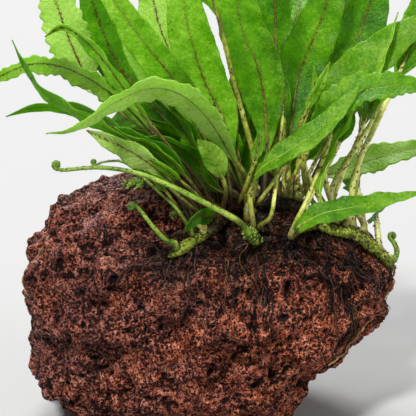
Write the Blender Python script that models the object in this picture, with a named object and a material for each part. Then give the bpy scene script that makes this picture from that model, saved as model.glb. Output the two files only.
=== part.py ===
"""Java fern on lava rock: a porous rock with a flat underside, the creeping
rhizomes that cling to it, and the fronds, croziers and roots that grow from them.
Units are metres, +Z is up, and the origin is the middle of the rock's flat base.
Most pieces are placed by where they are seen from the front: a place is
(across px, down px, depth mm), on a picture 416 px square."""

import math
from collections import namedtuple

import bmesh
import bpy
import numpy as np
from mathutils import Vector, noise
from mathutils.bvhtree import BVHTree

MM = 0.001
GAP = 0.35 * MM

# The view from the front
VIEW_TILT = math.radians(14)
VIEW_DISTANCE = 600 * MM
PICTURE_MIDDLE = 208
PIXEL = 0.36 * MM
MIDDLE_HEIGHT = 76 * MM
VIEWS = {
    "front": np.array((0, math.cos(VIEW_TILT), -math.sin(VIEW_TILT))),
    "above": np.array((0.0, 0.0, -1.0)),
}

# The rock
ROCK_AROUND = 65
ROCK_RINGS = 25
ROCK_RING_CROWDING = 0.92
ROCK_SQUARENESS = 2.5
ROCK_DEPTH_TO_WIDTH = 0.7
ROCK_TOP = Vector((-16, 6, 91)) * MM
ROCK_LUMP = 5.0 * MM
ROCK_KNOB = 9.0 * MM
ROCK_LEDGE = 3.0 * MM
ROCK_CRAG = 3.6 * MM
LUMP_SIZE = 27 * MM
KNOB_SIZE = 14 * MM
CRAG_SIZE = 8 * MM
LEDGE_WIDTH = 45 * MM
LEDGE_RISE = 11 * MM
BASE_FADE = 8 * MM
BASE_RELIEF = 0.35
HOLLOW_LOWEST = 4 * MM

# Fronds, stems and roots
PATH_STEPS = 16
PETIOLE_RADIUS = 1.0 * MM
PETIOLE_FOOT = 1.15
PETIOLE_TAPER = 0.3
SLIMNESS = {"left": 0.75, "front": 0.85, "centre": 0.85, "right": 1.0, "back": 0.8}
COLLAR = 2.5 * MM
BLADE_HALF_THICKNESS = 0.42 * MM
BLADE_BASE = 0.25
TIP_HALF_WIDTH = 0.7 * MM
FROND_STATIONS = 9
FROND_SIDES = 6
STATION_CROWDING = 1.15
SETTLE_REACH = 14
SWAY_STEP = 2.0
BELLY_STEP = 1.5
CROZIER_STATIONS = 10
CROZIER_SIDES = 5
CROZIER_TAPER = 0.5
COIL_STEPS = 6
COIL_TURN = math.radians(44)
COIL_TIGHTENING = 0.03
CUT_STALK_STATIONS = 5
ROOT_STATIONS = 9
ROOT_SIDES = 4
ROOT_TAPER = 0.45
FROND_CLEARANCE = 0.5 * MM
RHIZOME_RADIUS = 2.0 * MM
RHIZOME_SIDES = 7
RHIZOME_STATIONS = 11
RHIZOME_KNOBS = 9
RHIZOME_KNOB = 0.10
RHIZOME_END = 0.45
ROOT_CLEARANCE = 0.7 * MM
LAYING_ROUNDS = 30
LAYING_STEP = 0.6
STRAIGHTENING = 0.15
LIFTING_ROUNDS = 12

# Height, left, right, front and back of the rock at each level, in mm
ROCK_LEVELS = (
    (0, -48, 32, -31, 35),
    (6, -55, 35, -36, 39),
    (14, -61, 38, -41, 43),
    (22, -63, 45, -44, 45),
    (30, -64, 56, -46, 46),
    (40, -64, 63, -47, 47),
    (50, -65, 64, -46, 47),
    (60, -64, 60, -43, 45),
    (68, -61, 51, -38, 41),
    (74, -57, 42, -32, 36),
    (79, -52, 36, -26, 31),
    (83, -42, 28, -20, 26),
    (87, -34, 14, -12, 19),
)

# Hollows in the rock: the place as seen from the front, how wide and how deep, in mm
HOLLOWS = (
    ((70, 272), 7, 5.0),
    ((92, 310), 6, 4.0),
    ((305, 380), 11, 6.0),
    ((178, 330), 8, 3.5),
    ((140, 232), 8, 3.0),
    ((225, 385), 9, 4.0),
    ((345, 300), 8, 3.5),
    ((120, 375), 8, 3.5),
)

# The creeping stems
RHIZOMES = {
    "rhizome_left": ((168, 257, -40), (184, 247, -37), (204, 233, -31.5), (219, 222, -25), (229, 211, -20.5)),
    "rhizome_front": ((257, 245, -33), (253, 235, -30), (253, 224, -26.5), (262, 214, -24)),
    "rhizome_centre": ((242, 208, -19.2), (264, 203, -20), (286, 205, -19.6), (310, 210, -18.3)),
    "rhizome_right": (
        (290, 240, -30), (300, 229, -28.6), (317, 223, -25), (335, 230, -25),
        (352, 233, -20), (368, 243, -14), (383, 256, -8), (395, 270, -4),
    ),
    "rhizome_back": ((208, 163, 14), (238, 169, 16), (270, 181, 22), (304, 208, 21)),
}

Frond = namedtuple("Frond", "name rhizome place width blade_from faces turns path")

# Each frond: the rhizome and the place along it, the blade's width in mm, the share of
# the length that is bare stalk, the side that the blade faces, how far it is turned from
# that at its start and at its tip in degrees, and the places that its midrib passes
FRONDS = (
    Frond("frond_arching_left", "front", 0.62, 12, 0.20, "front", (28, 76), (
        (248, 184, -24), (230, 152, -32), (206, 116, -42), (180, 94, -50),
        (150, 88, -54), (115, 102, -56), (75, 128, -55), (46, 134, -53))),
    Frond("frond_broad_left", "centre", 0.15, 16, 0.14, "front", (15, -10), (
        (233, 160, -16), (222, 115, -15), (205, 82, -16), (190, 35, -20),
        (184, 0, -22), (181, -70, -20))),
    Frond("frond_edge_on_centre", "front", 0.88, 9, 0.70, "front", (40, 30), (
        (256, 170, -22), (245, 123, -24), (233, 78, -26), (220, 23, -30),
        (213, 0, -32), (194, -66, -36))),
    Frond("frond_broad_centre", "centre", 0.33, 17, 0.15, "front", (10, -10), (
        (267, 150, -10), (264, 99, -7), (256, 62, -8), (242, 30, -10),
        (237, 0, -12), (228, -75, -14))),
    Frond("frond_tall_stalk", "centre", 0.52, 14, 0.55, "front", (30, 20), (
        (277, 172, -14), (284, 130, -9), (278, 85, -5), (276, 45, -3),
        (275, 0, 0), (272, -65, 6))),
    Frond("frond_broad_right", "centre", 0.71, 17, 0.18, "front", (-10, 15), (
        (288, 150, -4), (297, 84, 6), (305, 58, 8), (318, 27, 8),
        (328, 0, 8), (350, -62, 10))),
    Frond("frond_upper_right", "right", 0.33, 19, 0.30, "front", (20, -15), (
        (324, 172, -24), (335, 130, -11), (347, 88, 1), (357, 43, 10),
        (371, 0, 16), (390, -56, 20))),
    Frond("frond_sweeping_right", "right", 0.27, 16, 0.24, "front", (15, 25), (
        (303, 160, -12), (322, 116, -8), (348, 82, -6), (374, 58, -6),
        (404, 34, -6), (448, 6, -6))),
    Frond("frond_low_centre", "front", 0.35, 9, 0.22, "front", (45, 20), (
        (250, 190, -30), (262, 168, -33), (290, 150, -34), (322, 127, -33),
        (348, 100, -30), (364, 82, -28))),
    Frond("frond_drooping_right", "centre", 0.92, 13, 0.26, "front", (35, 35), (
        (304, 162, -20), (322, 122, -24), (348, 96, -26), (380, 88, -26),
        (412, 86, -25), (446, 94, -24))),
    Frond("frond_back_right", "back", 0.93, 13, 0.16, "front", (40, 45), (
        (318, 178, 24), (342, 171, 25), (362, 163, 26), (386, 156, 26), (410, 150, 26), (444, 146, 24))),
    Frond("frond_young_right", "right", 0.08, 9, 0.05, "front", (35, 45), (
        (300, 226, -40), (322, 214, -42), (350, 208, -42), (382, 201, -40), (424, 192, -37))),
    Frond("frond_pale_upper_left", "left", 0.87, 15, 0.52, "front", (-15, 10), (
        (206, 172, -18), (160, 138, -14), (120, 112, -11), (90, 82, -10),
        (72, 46, -12), (56, 2, -14), (40, -46, -16))),
    Frond("frond_dark_upper_left", "centre", 0.03, 15, 0.30, "front", (30, 10), (
        (214, 176, -14), (180, 134, -6), (146, 98, -2), (121, 68, 0),
        (105, 36, 0), (92, 0, 0), (80, -46, 2))),
    Frond("frond_long_left", "left", 0.715, 11, 0.34, "front", (50, 62), (
        (196, 186, -26), (160, 142, -26), (126, 106, -25), (92, 80, -24),
        (60, 66, -23), (30, 64, -22), (0, 76, -20), (-24, 92, -18))),
    Frond("frond_slender_left", "left", 0.62, 6, 0.42, "front", (50, 66), (
        (188, 190, -32), (145, 152, -41), (100, 124, -46), (62, 104, -47),
        (36, 84, -47), (22, 60, -46), (12, 40, -44))),
    Frond("frond_narrow_left", "back", 0.02, 11, 0.30, "front", (50, 60), (
        (190, 160, 8), (160, 118, 4), (128, 82, 2), (100, 52, 0),
        (78, 33, 0), (60, 27, 0), (48, 38, 2))),
    Frond("frond_wavy_left", "left", 0.44, 9, 0.30, "front", (60, 66), (
        (178, 196, -34), (140, 156, -30), (108, 122, -26), (80, 108, -24),
        (55, 106, -24), (30, 108, -26), (6, 117, -28))),
    Frond("frond_diagonal", "left", 0.945, 12, 0.30, "front", (30, 15), (
        (219, 170, -26), (205, 130, -30), (184, 92, -34), (160, 62, -37),
        (138, 34, -38), (112, -2, -38), (86, -40, -36))),
    Frond("frond_bright_diagonal", "back", 0.18, 16, 0.30, "front", (-10, -20), (
        (206, 148, 10), (186, 112, 10), (166, 86, 10), (144, 62, 10),
        (120, 36, 12), (94, 2, 14))),
    Frond("frond_pale_tall", "back", 0.26, 16, 0.30, "front", (15, 10), (
        (212, 138, 14), (190, 92, 16), (171, 54, 18), (157, 16, 20), (146, -44, 24))),
    Frond("frond_underside_left", "left", 0.53, 9, 0.40, "front", (40, 35), (
        (189, 203, -36), (172, 184, -39), (152, 165, -39), (130, 151, -38),
        (108, 140, -37), (86, 130, -36))),
    Frond("frond_round_tip", "left", 0.795, 8, 0.50, "front", (20, 10), (
        (226, 192, -33), (220, 172, -36), (212, 155, -38), (197, 139, -40))),
    Frond("frond_outer_right", "right", 0.58, 14, 0.62, "front", (20, 30), (
        (352, 196, -18), (360, 160, -14), (374, 128, -12), (388, 98, -10),
        (404, 62, -8), (424, 20, -4), (446, -20, 2))),
    Frond("frond_inner_right", "right", 0.44, 13, 0.60, "front", (-20, 10), (
        (331, 194, -16), (345, 164, -8), (362, 138, -2), (379, 110, 4),
        (396, 78, 10), (408, 52, 14), (420, 16, 20), (428, -24, 26))),
    Frond("frond_far_right", "right", 0.66, 12, 0.30, "above", (50, 60), (
        (360, 200, -8), (356, 180, 14), (356, 162, 34), (364, 152, 54), (376, 150, 70))),
    Frond("frond_speckled_back", "back", 0.58, 17, 0.12, "front", (0, 15), (
        (251, 150, 22), (254, 100, 26), (259, 45, 30), (260, 0, 33), (258, -40, 38))),
    Frond("frond_back_left", "back", 0.34, 14, 0.35, "above", (10, 60), (
        (226, 136, 24), (208, 98, 38), (191, 72, 52), (176, 56, 66), (164, 52, 82))),
    Frond("frond_back_low_left", "back", 0.10, 13, 0.30, "above", (60, 75), (
        (188, 144, 26), (166, 130, 38), (144, 122, 50), (124, 120, 62), (106, 126, 72))),
    Frond("frond_back_middle", "back", 0.50, 15, 0.35, "above", (30, 85), (
        (248, 136, 30), (243, 106, 48), (240, 88, 68), (238, 82, 88), (236, 92, 106))),
    Frond("frond_back_tall", "back", 0.67, 15, 0.26, "front", (10, 30), (
        (272, 132, 32), (282, 82, 42), (292, 38, 54), (300, 4, 66), (308, -18, 80))),
    Frond("frond_back_low_middle", "back", 0.42, 12, 0.25, "above", (75, 85), (
        (239, 146, 32), (234, 134, 50), (229, 136, 70), (226, 148, 90), (224, 168, 104))),
    Frond("frond_back_far_right", "back", 0.84, 14, 0.35, "above", (20, 60), (
        (296, 146, 34), (320, 108, 46), (344, 84, 58), (370, 76, 70), (394, 84, 80))),
    Frond("frond_back_low_right", "back", 0.76, 12, 0.25, "above", (70, 80), (
        (286, 172, 40), (302, 154, 56), (318, 148, 72), (334, 154, 88))),
    Frond("frond_behind_left", "centre", 0.24, 15, 0.20, "front", (25, 30), (
        (243, 178, -12), (226, 152, -4), (206, 128, 0), (184, 106, 4), (162, 90, 6), (142, 80, 8))),
    Frond("frond_behind_right", "centre", 0.81, 14, 0.26, "front", (-15, 5), (
        (300, 155, 0), (318, 104, 12), (332, 56, 20), (344, 10, 28), (352, -38, 36))),
    Frond("frond_thin_right", "right", 0.52, 11, 0.50, "front", (25, 40), (
        (354, 194, -14), (359, 164, -6), (361, 134, 2), (362, 104, 8),
        (364, 66, 14), (368, 26, 18), (374, -14, 24))),
    Frond("frond_narrow_right", "right", 0.395, 7.5, 0.14, "front", (66, 72), (
        (320, 200, -30), (330, 154, -16), (342, 130, -10), (356, 107, -5),
        (374, 80, 0), (388, 48, 4), (398, 12, 8))),
    Frond("leaf_small_left", "left", 0.70, 5.5, 0.16, "front", (20, 30), (
        (207, 216, -40), (200, 216, -46), (191, 224, -48), (183, 233, -47))),
    Frond("frond_low_left", "centre", 0.08, 9, 0.20, "front", (45, 55), (
        (209, 184, -30), (198, 162, -30.5), (180, 147, -31), (157, 139, -31.5), (134, 136, -32))),
    Frond("frond_side_right", "right", 0.84, 12, 0.30, "above", (60, 65), (
        (377, 226, 8), (377, 216, 24), (380, 208, 40), (387, 203, 55), (396, 202, 68))),
)

Crozier = namedtuple("Crozier", "name rhizome place radius curl path")

# Young fronds still coiled at the tip: their curl is the radius of the coil in mm
CROZIERS = (
    Crozier("crozier_long", "front", 0.18, 1.15, -1.9, (
        (238, 221, -43), (209, 205, -48), (175, 188, -49), (141, 174, -48),
        (108, 168, -46), (85, 168, -46), (66, 170, -46), (56, 169, -46))),
    Crozier("crozier_thin", "left", 0.37, 0.65, -1.5, (
        (176, 208, -44), (160, 193, -42), (145, 179, -40), (130, 166, -38),
        (118, 161, -38), (104, 162, -38), (95, 165, -38))),
    Crozier("crozier_short", "left", 0.12, 1.0, 1.6, (
        (166, 240, -44), (155, 229, -46), (147, 219, -47), (140, 210, -47), (134, 204, -47))),
    Crozier("crozier_right", "right", 0.965, 1.3, -1.5, (
        (394, 260, 0), (397, 251, 1), (394, 243, 2), (390, 238, 2))),
)

# A stalk that has lost its blade: the rhizome, the place on it, the radius in mm and the path
CUT_STALK = Crozier("stalk_cut_left", "left", 0.48, 0.9, 0, ((200, 226, -41), (194, 218, -45)))

# Thick roots that lie on the rock: the radius in mm and the places that they pass
ROOTS = {
    "root_left": (0.65, ((64, 232, -12), (46, 244, -14), (32, 262, -14), (25, 280, -14), (27, 302, -14))),
    "root_right_loop": (0.6, ((398, 272, 0), (399, 282, -4), (392, 292, -8), (384, 300, -12))),
    "root_lower_right": (0.65, ((374, 322, -20), (362, 340, -22), (346, 352, -24), (328, 364, -26))),
    "root_front_left": (0.5, ((190, 252, -44), (186, 276, -46), (192, 302, -48), (186, 330, -48))),
    "root_front_middle": (0.5, ((265, 254, -40), (266, 285, -44), (267, 318, -46), (267, 350, -46))),
    "root_front_right": (0.5, ((302, 240, -36), (322, 258, -38), (338, 284, -38), (345, 312, -38), (341, 345, -36))),
    "root_right": (0.5, ((344, 246, -28), (362, 263, -26), (377, 282, -22), (386, 298, -18))),
    "root_top_left": (0.5, ((158, 252, -42), (140, 262, -44), (122, 276, -46), (112, 296, -48))),
}

COLOURS = {
    "rock": (0.155, 0.052, 0.036),
    "blade": (0.17, 0.36, 0.045),
    "stem": (0.30, 0.36, 0.08),
    "rhizome": (0.13, 0.17, 0.04),
    "root": (0.10, 0.045, 0.02),
}
ROUGHNESS = {"rock": 0.62, "blade": 0.38, "stem": 0.45, "rhizome": 0.6, "root": 0.55}


def clear_scene():
    for item in list(bpy.data.objects):
        bpy.data.objects.remove(item, do_unlink=True)


def material(name):
    found = bpy.data.materials.get(name)
    if found:
        return found
    made = bpy.data.materials.new(name)
    made.use_nodes = True
    shader = made.node_tree.nodes["Principled BSDF"]
    shader.inputs["Base Color"].default_value = (*COLOURS[name], 1.0)
    shader.inputs["Roughness"].default_value = ROUGHNESS[name]
    shader.inputs["Metallic"].default_value = 0.0
    return made


def add_object(name, vertices, faces, finish):
    mesh = bpy.data.meshes.new(name)
    mesh.from_pydata([tuple(point) for point in vertices], [], faces)
    mesh.materials.append(material(finish))
    mesh.shade_smooth()
    made = bpy.data.objects.new(name, mesh)
    bpy.context.collection.objects.link(made)
    return made


def seen(across, down, depth_mm):
    """The point at this depth that shows at this pixel of the view from the front."""
    depth = depth_mm * MM
    rise = (PICTURE_MIDDLE - down) * PIXEL
    tilt_cos = math.cos(VIEW_TILT)
    tilt_sin = math.sin(VIEW_TILT)
    nearness = 1 + depth * tilt_cos / VIEW_DISTANCE
    height = (rise * nearness - depth * tilt_sin) / (tilt_cos + rise * tilt_sin / VIEW_DISTANCE)
    away = depth * tilt_cos - height * tilt_sin
    sideways = (across - PICTURE_MIDDLE) * PIXEL * (1 + away / VIEW_DISTANCE)
    return np.array((sideways, depth, MIDDLE_HEIGHT + height))


def smooth_path(points, count, crowding=1.0):
    """Places on a smooth curve through the points, closer together at its start if crowded."""
    points = [np.array(point, dtype=float) for point in points]
    before = 2 * points[0] - points[1]
    after = 2 * points[-1] - points[-2]
    guides = [before, *points, after]
    steps = np.linspace(0, 1, PATH_STEPS, endpoint=False)[:, None]
    runs = []
    for a, b, c, d in zip(guides, guides[1:], guides[2:], guides[3:]):
        cubic = (3 * (b - c) + d - a) * steps ** 3
        square = (2 * a - 5 * b + 4 * c - d) * steps ** 2
        runs.append(b + 0.5 * (cubic + square + (c - a) * steps))
    dense = np.vstack([*runs, points[-1]])
    lengths = np.linalg.norm(np.diff(dense, axis=0), axis=1)
    along = np.concatenate([[0.0], np.cumsum(lengths)])
    wanted = np.linspace(0, 1, count) ** crowding * along[-1]
    return np.column_stack([np.interp(wanted, along, dense[:, axis]) for axis in range(3)])


def directions(path):
    """The unit direction of travel at each place of a path."""
    heading = np.gradient(path, axis=0)
    return heading / np.linalg.norm(heading, axis=1)[:, None]


def path_shares(path):
    """How far along the path each of its places is, from 0 to 1."""
    lengths = np.linalg.norm(np.diff(path, axis=0), axis=1)
    along = np.concatenate([[0.0], np.cumsum(lengths)])
    return along / along[-1]


def unit(vector):
    return vector / np.linalg.norm(vector)


def loft_faces(rings, sides):
    """Faces of a closed body with this many rings of corners, capped at both ends."""
    faces = [tuple(range(sides))[::-1]]
    for ring in range(rings - 1):
        start = ring * sides
        for side in range(sides):
            following = (side + 1) % sides
            faces.append((start + side, start + following, start + sides + following, start + sides + side))
    last = (rings - 1) * sides
    faces.append(tuple(range(last, last + sides)))
    return faces


def tube(path, radii, sides):
    """Corners of a round stem along the path."""
    heading = directions(path)
    side_way = unit(np.cross(heading[0], (0.3, 0.2, 1.0)))
    corners = []
    for place, direction, radius in zip(path, heading, radii):
        side_way = unit(side_way - direction * np.dot(side_way, direction))
        up_way = np.cross(direction, side_way)
        for side in range(sides):
            angle = 2 * math.pi * side / sides
            corners.append(place + radius * (math.cos(angle) * side_way + math.sin(angle) * up_way))
    return corners


def rhizome_path(name, count=RHIZOME_STATIONS):
    return smooth_path([seen(*place) for place in RHIZOMES["rhizome_" + name]], count)


def rhizome_radii(count, extra=0.0):
    """A knobbly stem with rounded ends."""
    shares = np.linspace(0, 1, count)
    ends = np.sqrt(1 - np.abs(2 * shares - 1) ** 5)
    knobs = 1 + RHIZOME_KNOB * np.cos(shares * RHIZOME_KNOBS * math.pi)
    return RHIZOME_RADIUS * knobs * np.maximum(ends, RHIZOME_END) + extra


def growing_point(rhizome, place, towards):
    """Where a stem leaves the rhizome's surface on its way to the given point."""
    path = rhizome_path(rhizome, 60)
    index = min(int(place * 59), 58)
    centre = path[index]
    along = unit(path[index + 1] - path[index])
    way = unit(towards - centre)
    outward = unit(way - along * np.dot(way, along))
    shares = np.linspace(0, 1, RHIZOME_STATIONS)
    radius = np.interp(place, shares, rhizome_radii(RHIZOME_STATIONS))
    return centre + outward * (radius + GAP), outward


def stem_path(spec, sway, belly, count):
    """The stem's places, with its middle and its tip moved nearer or further."""
    last = len(spec.path)
    places = []
    for number, (across, down, depth) in enumerate(spec.path, start=1):
        share = number / last
        shift = sway * share + belly * math.sin(math.pi * share)
        places.append(seen(across, down, depth + shift))
    start, outward = growing_point(spec.rhizome, spec.place, places[0])
    rest = smooth_path([start + outward * COLLAR, *places], count - 1, STATION_CROWDING)
    return np.vstack([start, rest])


def blade_width(share):
    """Lance-shaped, drawn out at its base: the half width at this share of the blade."""
    inside = min(max(share, 0.0), 1.0)
    base = min(inside / BLADE_BASE, 1.0) ** 0.3
    return math.sin(math.pi * inside ** 0.85) ** 0.85 * base


def blade_frames(spec, path):
    """The way across and the way out of the blade's face at each place of the midrib."""
    view = VIEWS[spec.faces]
    turns = spec.turns
    blade_from = spec.blade_from
    frames = []
    for direction, share in zip(directions(path), path_shares(path)):
        level = unit(np.cross(direction, view))
        facing = np.cross(level, direction)
        into_blade = max((share - blade_from) / (1 - blade_from), 0)
        turn = math.radians(turns[0] + (turns[1] - turns[0]) * into_blade)
        across = math.cos(turn) * level + math.sin(turn) * facing
        frames.append((across, np.cross(direction, across)))
    return frames


def frond_corners(spec, path, extra=0.0):
    """Six corners for each place: a round stalk that widens into a thin blade."""
    corners = []
    last = len(path) - 1
    widest = spec.width * MM / 2
    shares = path_shares(path)
    for number, (across, out) in enumerate(blade_frames(spec, path)):
        into_blade = (shares[number] - spec.blade_from) / (1 - spec.blade_from)
        full = PETIOLE_RADIUS * SLIMNESS[spec.rhizome]
        stalk = full * (PETIOLE_FOOT - PETIOLE_TAPER * shares[number])
        half = max(stalk, widest * blade_width(into_blade))
        if number == last:
            half = TIP_HALF_WIDTH
        flatness = min(max(into_blade * 5, 0), 1)
        thick = full * (1 - flatness) + BLADE_HALF_THICKNESS * flatness
        inner = 0.5 - 0.1 * flatness
        half += extra
        thick += extra
        outline = ((1, 0), (inner, 1), (-inner, 1), (-1, 0), (-inner, -1), (inner, -1))
        for sideways, outward in outline:
            corners.append(path[number] + across * half * sideways + out * thick * outward)
    return corners


def surface(corners, rings, sides):
    return BVHTree.FromPolygons([Vector(corner) for corner in corners], loft_faces(rings, sides))


def mesh_surface(mesh):
    corners = [vertex.co.copy() for vertex in mesh.vertices]
    return BVHTree.FromPolygons(corners, [tuple(face.vertices) for face in mesh.polygons])


def settle(spec, standing):
    """Tries the frond where it is seen, then nearer and further, until it is clear."""
    reaches = sorted(range(-SETTLE_REACH, SETTLE_REACH + 1), key=lambda step: (abs(step), step))
    tries = sorted(((abs(sway) + abs(belly), sway, belly) for sway in reaches for belly in reaches))
    for _, sway, belly in tries:
        path = stem_path(spec, sway * SWAY_STEP, belly * BELLY_STEP, FROND_STATIONS)
        fat = surface(frond_corners(spec, path, FROND_CLEARANCE), len(path), FROND_SIDES)
        if not any(fat.overlap(other) for other in standing):
            return path
    raise ValueError("no free place for " + spec.name)


def rock_levels():
    """The rock's extents at evenly spaced heights, read from smooth curves."""
    table = np.array(ROCK_LEVELS) * MM
    heights = np.linspace(0, 1, ROCK_RINGS) ** ROCK_RING_CROWDING * table[-1, 0]
    return [(height, *[np.interp(height, table[:, 0], table[:, side]) for side in range(1, 5)])
            for height in heights]


def rock_relief(point):
    """How far the rock stands out at this point: lumps, round knobs, ledges and crags."""
    lumps = noise.noise(point / LUMP_SIZE + Vector((3.1, 7.7, 1.3)))
    to_knob = noise.voronoi(point / KNOB_SIZE + Vector((9.2, 0.4, 5.6)))[0][0]
    flat_place = Vector((point.x / LEDGE_WIDTH, point.y / LEDGE_WIDTH, point.z / LEDGE_RISE))
    ledges = noise.noise(flat_place + Vector((2.2, 6.1, 0.7)))
    crags = noise.noise(point / CRAG_SIZE + Vector((4.4, 1.9, 8.8)))
    return (ROCK_LUMP * lumps + ROCK_KNOB * (0.5 - to_knob)
            + ROCK_LEDGE * ledges + ROCK_CRAG * crags)


def rock_outline():
    """Evenly spaced places on a squarish round outline that is 2 wide and 2 deep."""
    angles = np.linspace(0, 2 * math.pi, 721)
    power = 2 / ROCK_SQUARENESS
    swing_x = np.sign(np.cos(angles)) * np.abs(np.cos(angles)) ** power
    swing_y = np.sign(np.sin(angles)) * np.abs(np.sin(angles)) ** power
    lengths = np.hypot(np.diff(swing_x), np.diff(swing_y) * ROCK_DEPTH_TO_WIDTH)
    along = np.concatenate([[0.0], np.cumsum(lengths)])
    wanted = np.linspace(0, along[-1], ROCK_AROUND, endpoint=False)
    return list(zip(np.interp(wanted, along, swing_x), np.interp(wanted, along, swing_y)))


def make_rock():
    corners = []
    for height, left, right, front, back in rock_levels():
        for swing_x, swing_y in rock_outline():
            corner_x = (left + right) / 2 + (right - left) / 2 * swing_x
            corner_y = (front + back) / 2 + (back - front) / 2 * swing_y
            corners.append((corner_x, corner_y, height))
    faces = loft_faces(ROCK_RINGS, ROCK_AROUND)[:-1]
    last = (ROCK_RINGS - 1) * ROCK_AROUND
    for side in range(ROCK_AROUND):
        faces.append((last + side, last + (side + 1) % ROCK_AROUND, len(corners)))
    corners.append(tuple(ROCK_TOP))
    rock = add_object("lava_rock", corners, faces, "rock")
    rock.data.shade_flat()
    roughen(rock.data)
    carve_hollows(rock.data)
    return rock


def roughen(mesh):
    """Raises the lumps and ledges along each corner's normal and keeps the base flat."""
    shape = bmesh.new()
    shape.from_mesh(mesh)
    shape.normal_update()
    moves = []
    for vertex in shape.verts:
        relief = rock_relief(vertex.co)
        rising = min(vertex.co.z / BASE_FADE, 1.0)
        outward = vertex.normal.copy()
        outward.z *= rising
        moves.append(outward * relief * (BASE_RELIEF + (1 - BASE_RELIEF) * rising))
    for vertex, move in zip(shape.verts, moves):
        vertex.co += move
        vertex.co.z = max(vertex.co.z, 0.0)
    shape.to_mesh(mesh)
    shape.free()


def carve_hollows(mesh):
    """Pushes the rock's front in at each hollow, in a smooth bowl."""
    solid = mesh_surface(mesh)
    for (across, down), width, depth in HOLLOWS:
        near = Vector(seen(across, down, -90))
        far = Vector(seen(across, down, 60))
        middle = solid.ray_cast(near, (far - near).normalized())[0]
        for vertex in mesh.vertices:
            share = (vertex.co - middle).length / (width * MM)
            if share < 1 and vertex.co.z > HOLLOW_LOWEST:
                vertex.co.y += depth * MM * (1 - share * share)
    mesh.update()


def cut_groove(rock, name, path, radii, sides):
    """The stem's bed: a slightly fatter copy of it, cut out of the rock."""
    corners = tube(path, radii, sides)
    cutter = add_object("bed_of_" + name, corners, loft_faces(len(path), sides), "rhizome")
    cutter.hide_render = True
    cutter.display_type = "WIRE"
    cut = rock.modifiers.new("bed_of_" + name, "BOOLEAN")
    cut.operation = "DIFFERENCE"
    cut.solver = "EXACT"
    cut.object = cutter


def make_rhizomes(rock):
    standing = []
    for full_name in RHIZOMES:
        path = rhizome_path(full_name.removeprefix("rhizome_"))
        corners = tube(path, rhizome_radii(len(path)), RHIZOME_SIDES)
        add_object(full_name, corners, loft_faces(len(path), RHIZOME_SIDES), "rhizome")
        cut_groove(rock, full_name, path, rhizome_radii(len(path), GAP), RHIZOME_SIDES)
        standing.append(surface(corners, len(path), RHIZOME_SIDES))
    return standing


def crozier_path(spec, sway, belly):
    """The stem, then most of a turn that coils inward at the tip."""
    stem = stem_path(spec, sway, belly, CROZIER_STATIONS)
    heading = directions(stem)[-1]
    inward = unit(np.cross(heading, VIEWS["front"])) * math.copysign(1, spec.curl)
    radius = abs(spec.curl) * MM
    centre = stem[-1] + inward * radius
    coil = []
    for step in range(1, COIL_STEPS + 1):
        angle = COIL_TURN * step
        reach = radius * (1 - COIL_TIGHTENING * step)
        coil.append(centre + reach * (math.sin(angle) * heading - math.cos(angle) * inward))
    return np.vstack([stem, coil])


def make_croziers(standing):
    sides = CROZIER_SIDES
    for spec in CROZIERS:
        path = crozier_path(spec, 0, 0)
        shares = np.linspace(0, 1, len(path))
        radii = spec.radius * MM * (1 - CROZIER_TAPER * shares)
        corners = tube(path, radii, sides)
        add_object(spec.name, corners, loft_faces(len(path), sides), "stem")
        standing.append(surface(corners, len(path), sides))


def make_cut_stalk(standing):
    path = stem_path(CUT_STALK, 0, 0, CUT_STALK_STATIONS)
    radii = np.full(len(path), CUT_STALK.radius * MM)
    corners = tube(path, radii, CROZIER_SIDES)
    add_object(CUT_STALK.name, corners, loft_faces(len(path), CROZIER_SIDES), "stem")
    standing.append(surface(corners, len(path), CROZIER_SIDES))


def make_fronds(standing):
    for spec in FRONDS:
        path = settle(spec, standing)
        corners = frond_corners(spec, path)
        add_object(spec.name, corners, loft_faces(len(path), FROND_SIDES), "blade")
        standing.append(surface(corners, len(path), FROND_SIDES))


def outward_of(solid, place):
    """How far the place stands off the rock, and the way out of it."""
    nearest, normal, _, distance = solid.find_nearest(Vector(place))
    offset = Vector(place) - nearest
    inside = offset.dot(normal) < 0
    return (-distance if inside else distance), np.array(normal)


def lie_on(solid, path, clearance):
    """Lays the path's places on the rock, and lifts them where a straight run would touch it."""
    laid = path.copy()
    for _ in range(LAYING_ROUNDS):
        for number, place in enumerate(laid):
            offset, normal = outward_of(solid, place)
            laid[number] = place + normal * (clearance - offset) * LAYING_STEP
        laid[1:-1] += STRAIGHTENING * (laid[:-2] + laid[2:] - 2 * laid[1:-1])
    for _ in range(LIFTING_ROUNDS):
        for number in range(len(laid) - 1):
            for share in (0.0, 0.25, 0.5, 0.75, 1.0):
                place = laid[number] * (1 - share) + laid[number + 1] * share
                offset, normal = outward_of(solid, place)
                lift = normal * max(clearance - offset, 0)
                laid[number] += lift * (1 - share)
                laid[number + 1] += lift * share
    return laid


def make_roots(rock):
    solid = mesh_surface(rock.data)
    sides = ROOT_SIDES
    for name, (radius, places) in ROOTS.items():
        path = smooth_path([seen(*place) for place in places], ROOT_STATIONS)
        path = lie_on(solid, path, radius * MM + ROOT_CLEARANCE)
        radii = radius * MM * (1 - ROOT_TAPER * np.linspace(0, 1, len(path)))
        add_object(name, tube(path, radii, sides), loft_faces(len(path), sides), "root")


def main():
    clear_scene()
    rock = make_rock()
    standing = make_rhizomes(rock)
    make_croziers(standing)
    make_cut_stalk(standing)
    make_fronds(standing)
    make_roots(rock)


if __name__ == "__main__":
    main()
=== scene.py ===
"""Java fern on lava rock: the porous rock, the scaly creeping stems, the thin fronds
with their ribs and veins, the coiled young fronds, and the mat of fine roots."""

import math
from collections import namedtuple

import bmesh
import bpy
import numpy as np
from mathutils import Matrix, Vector, noise
from mathutils.bvhtree import BVHTree


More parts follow.
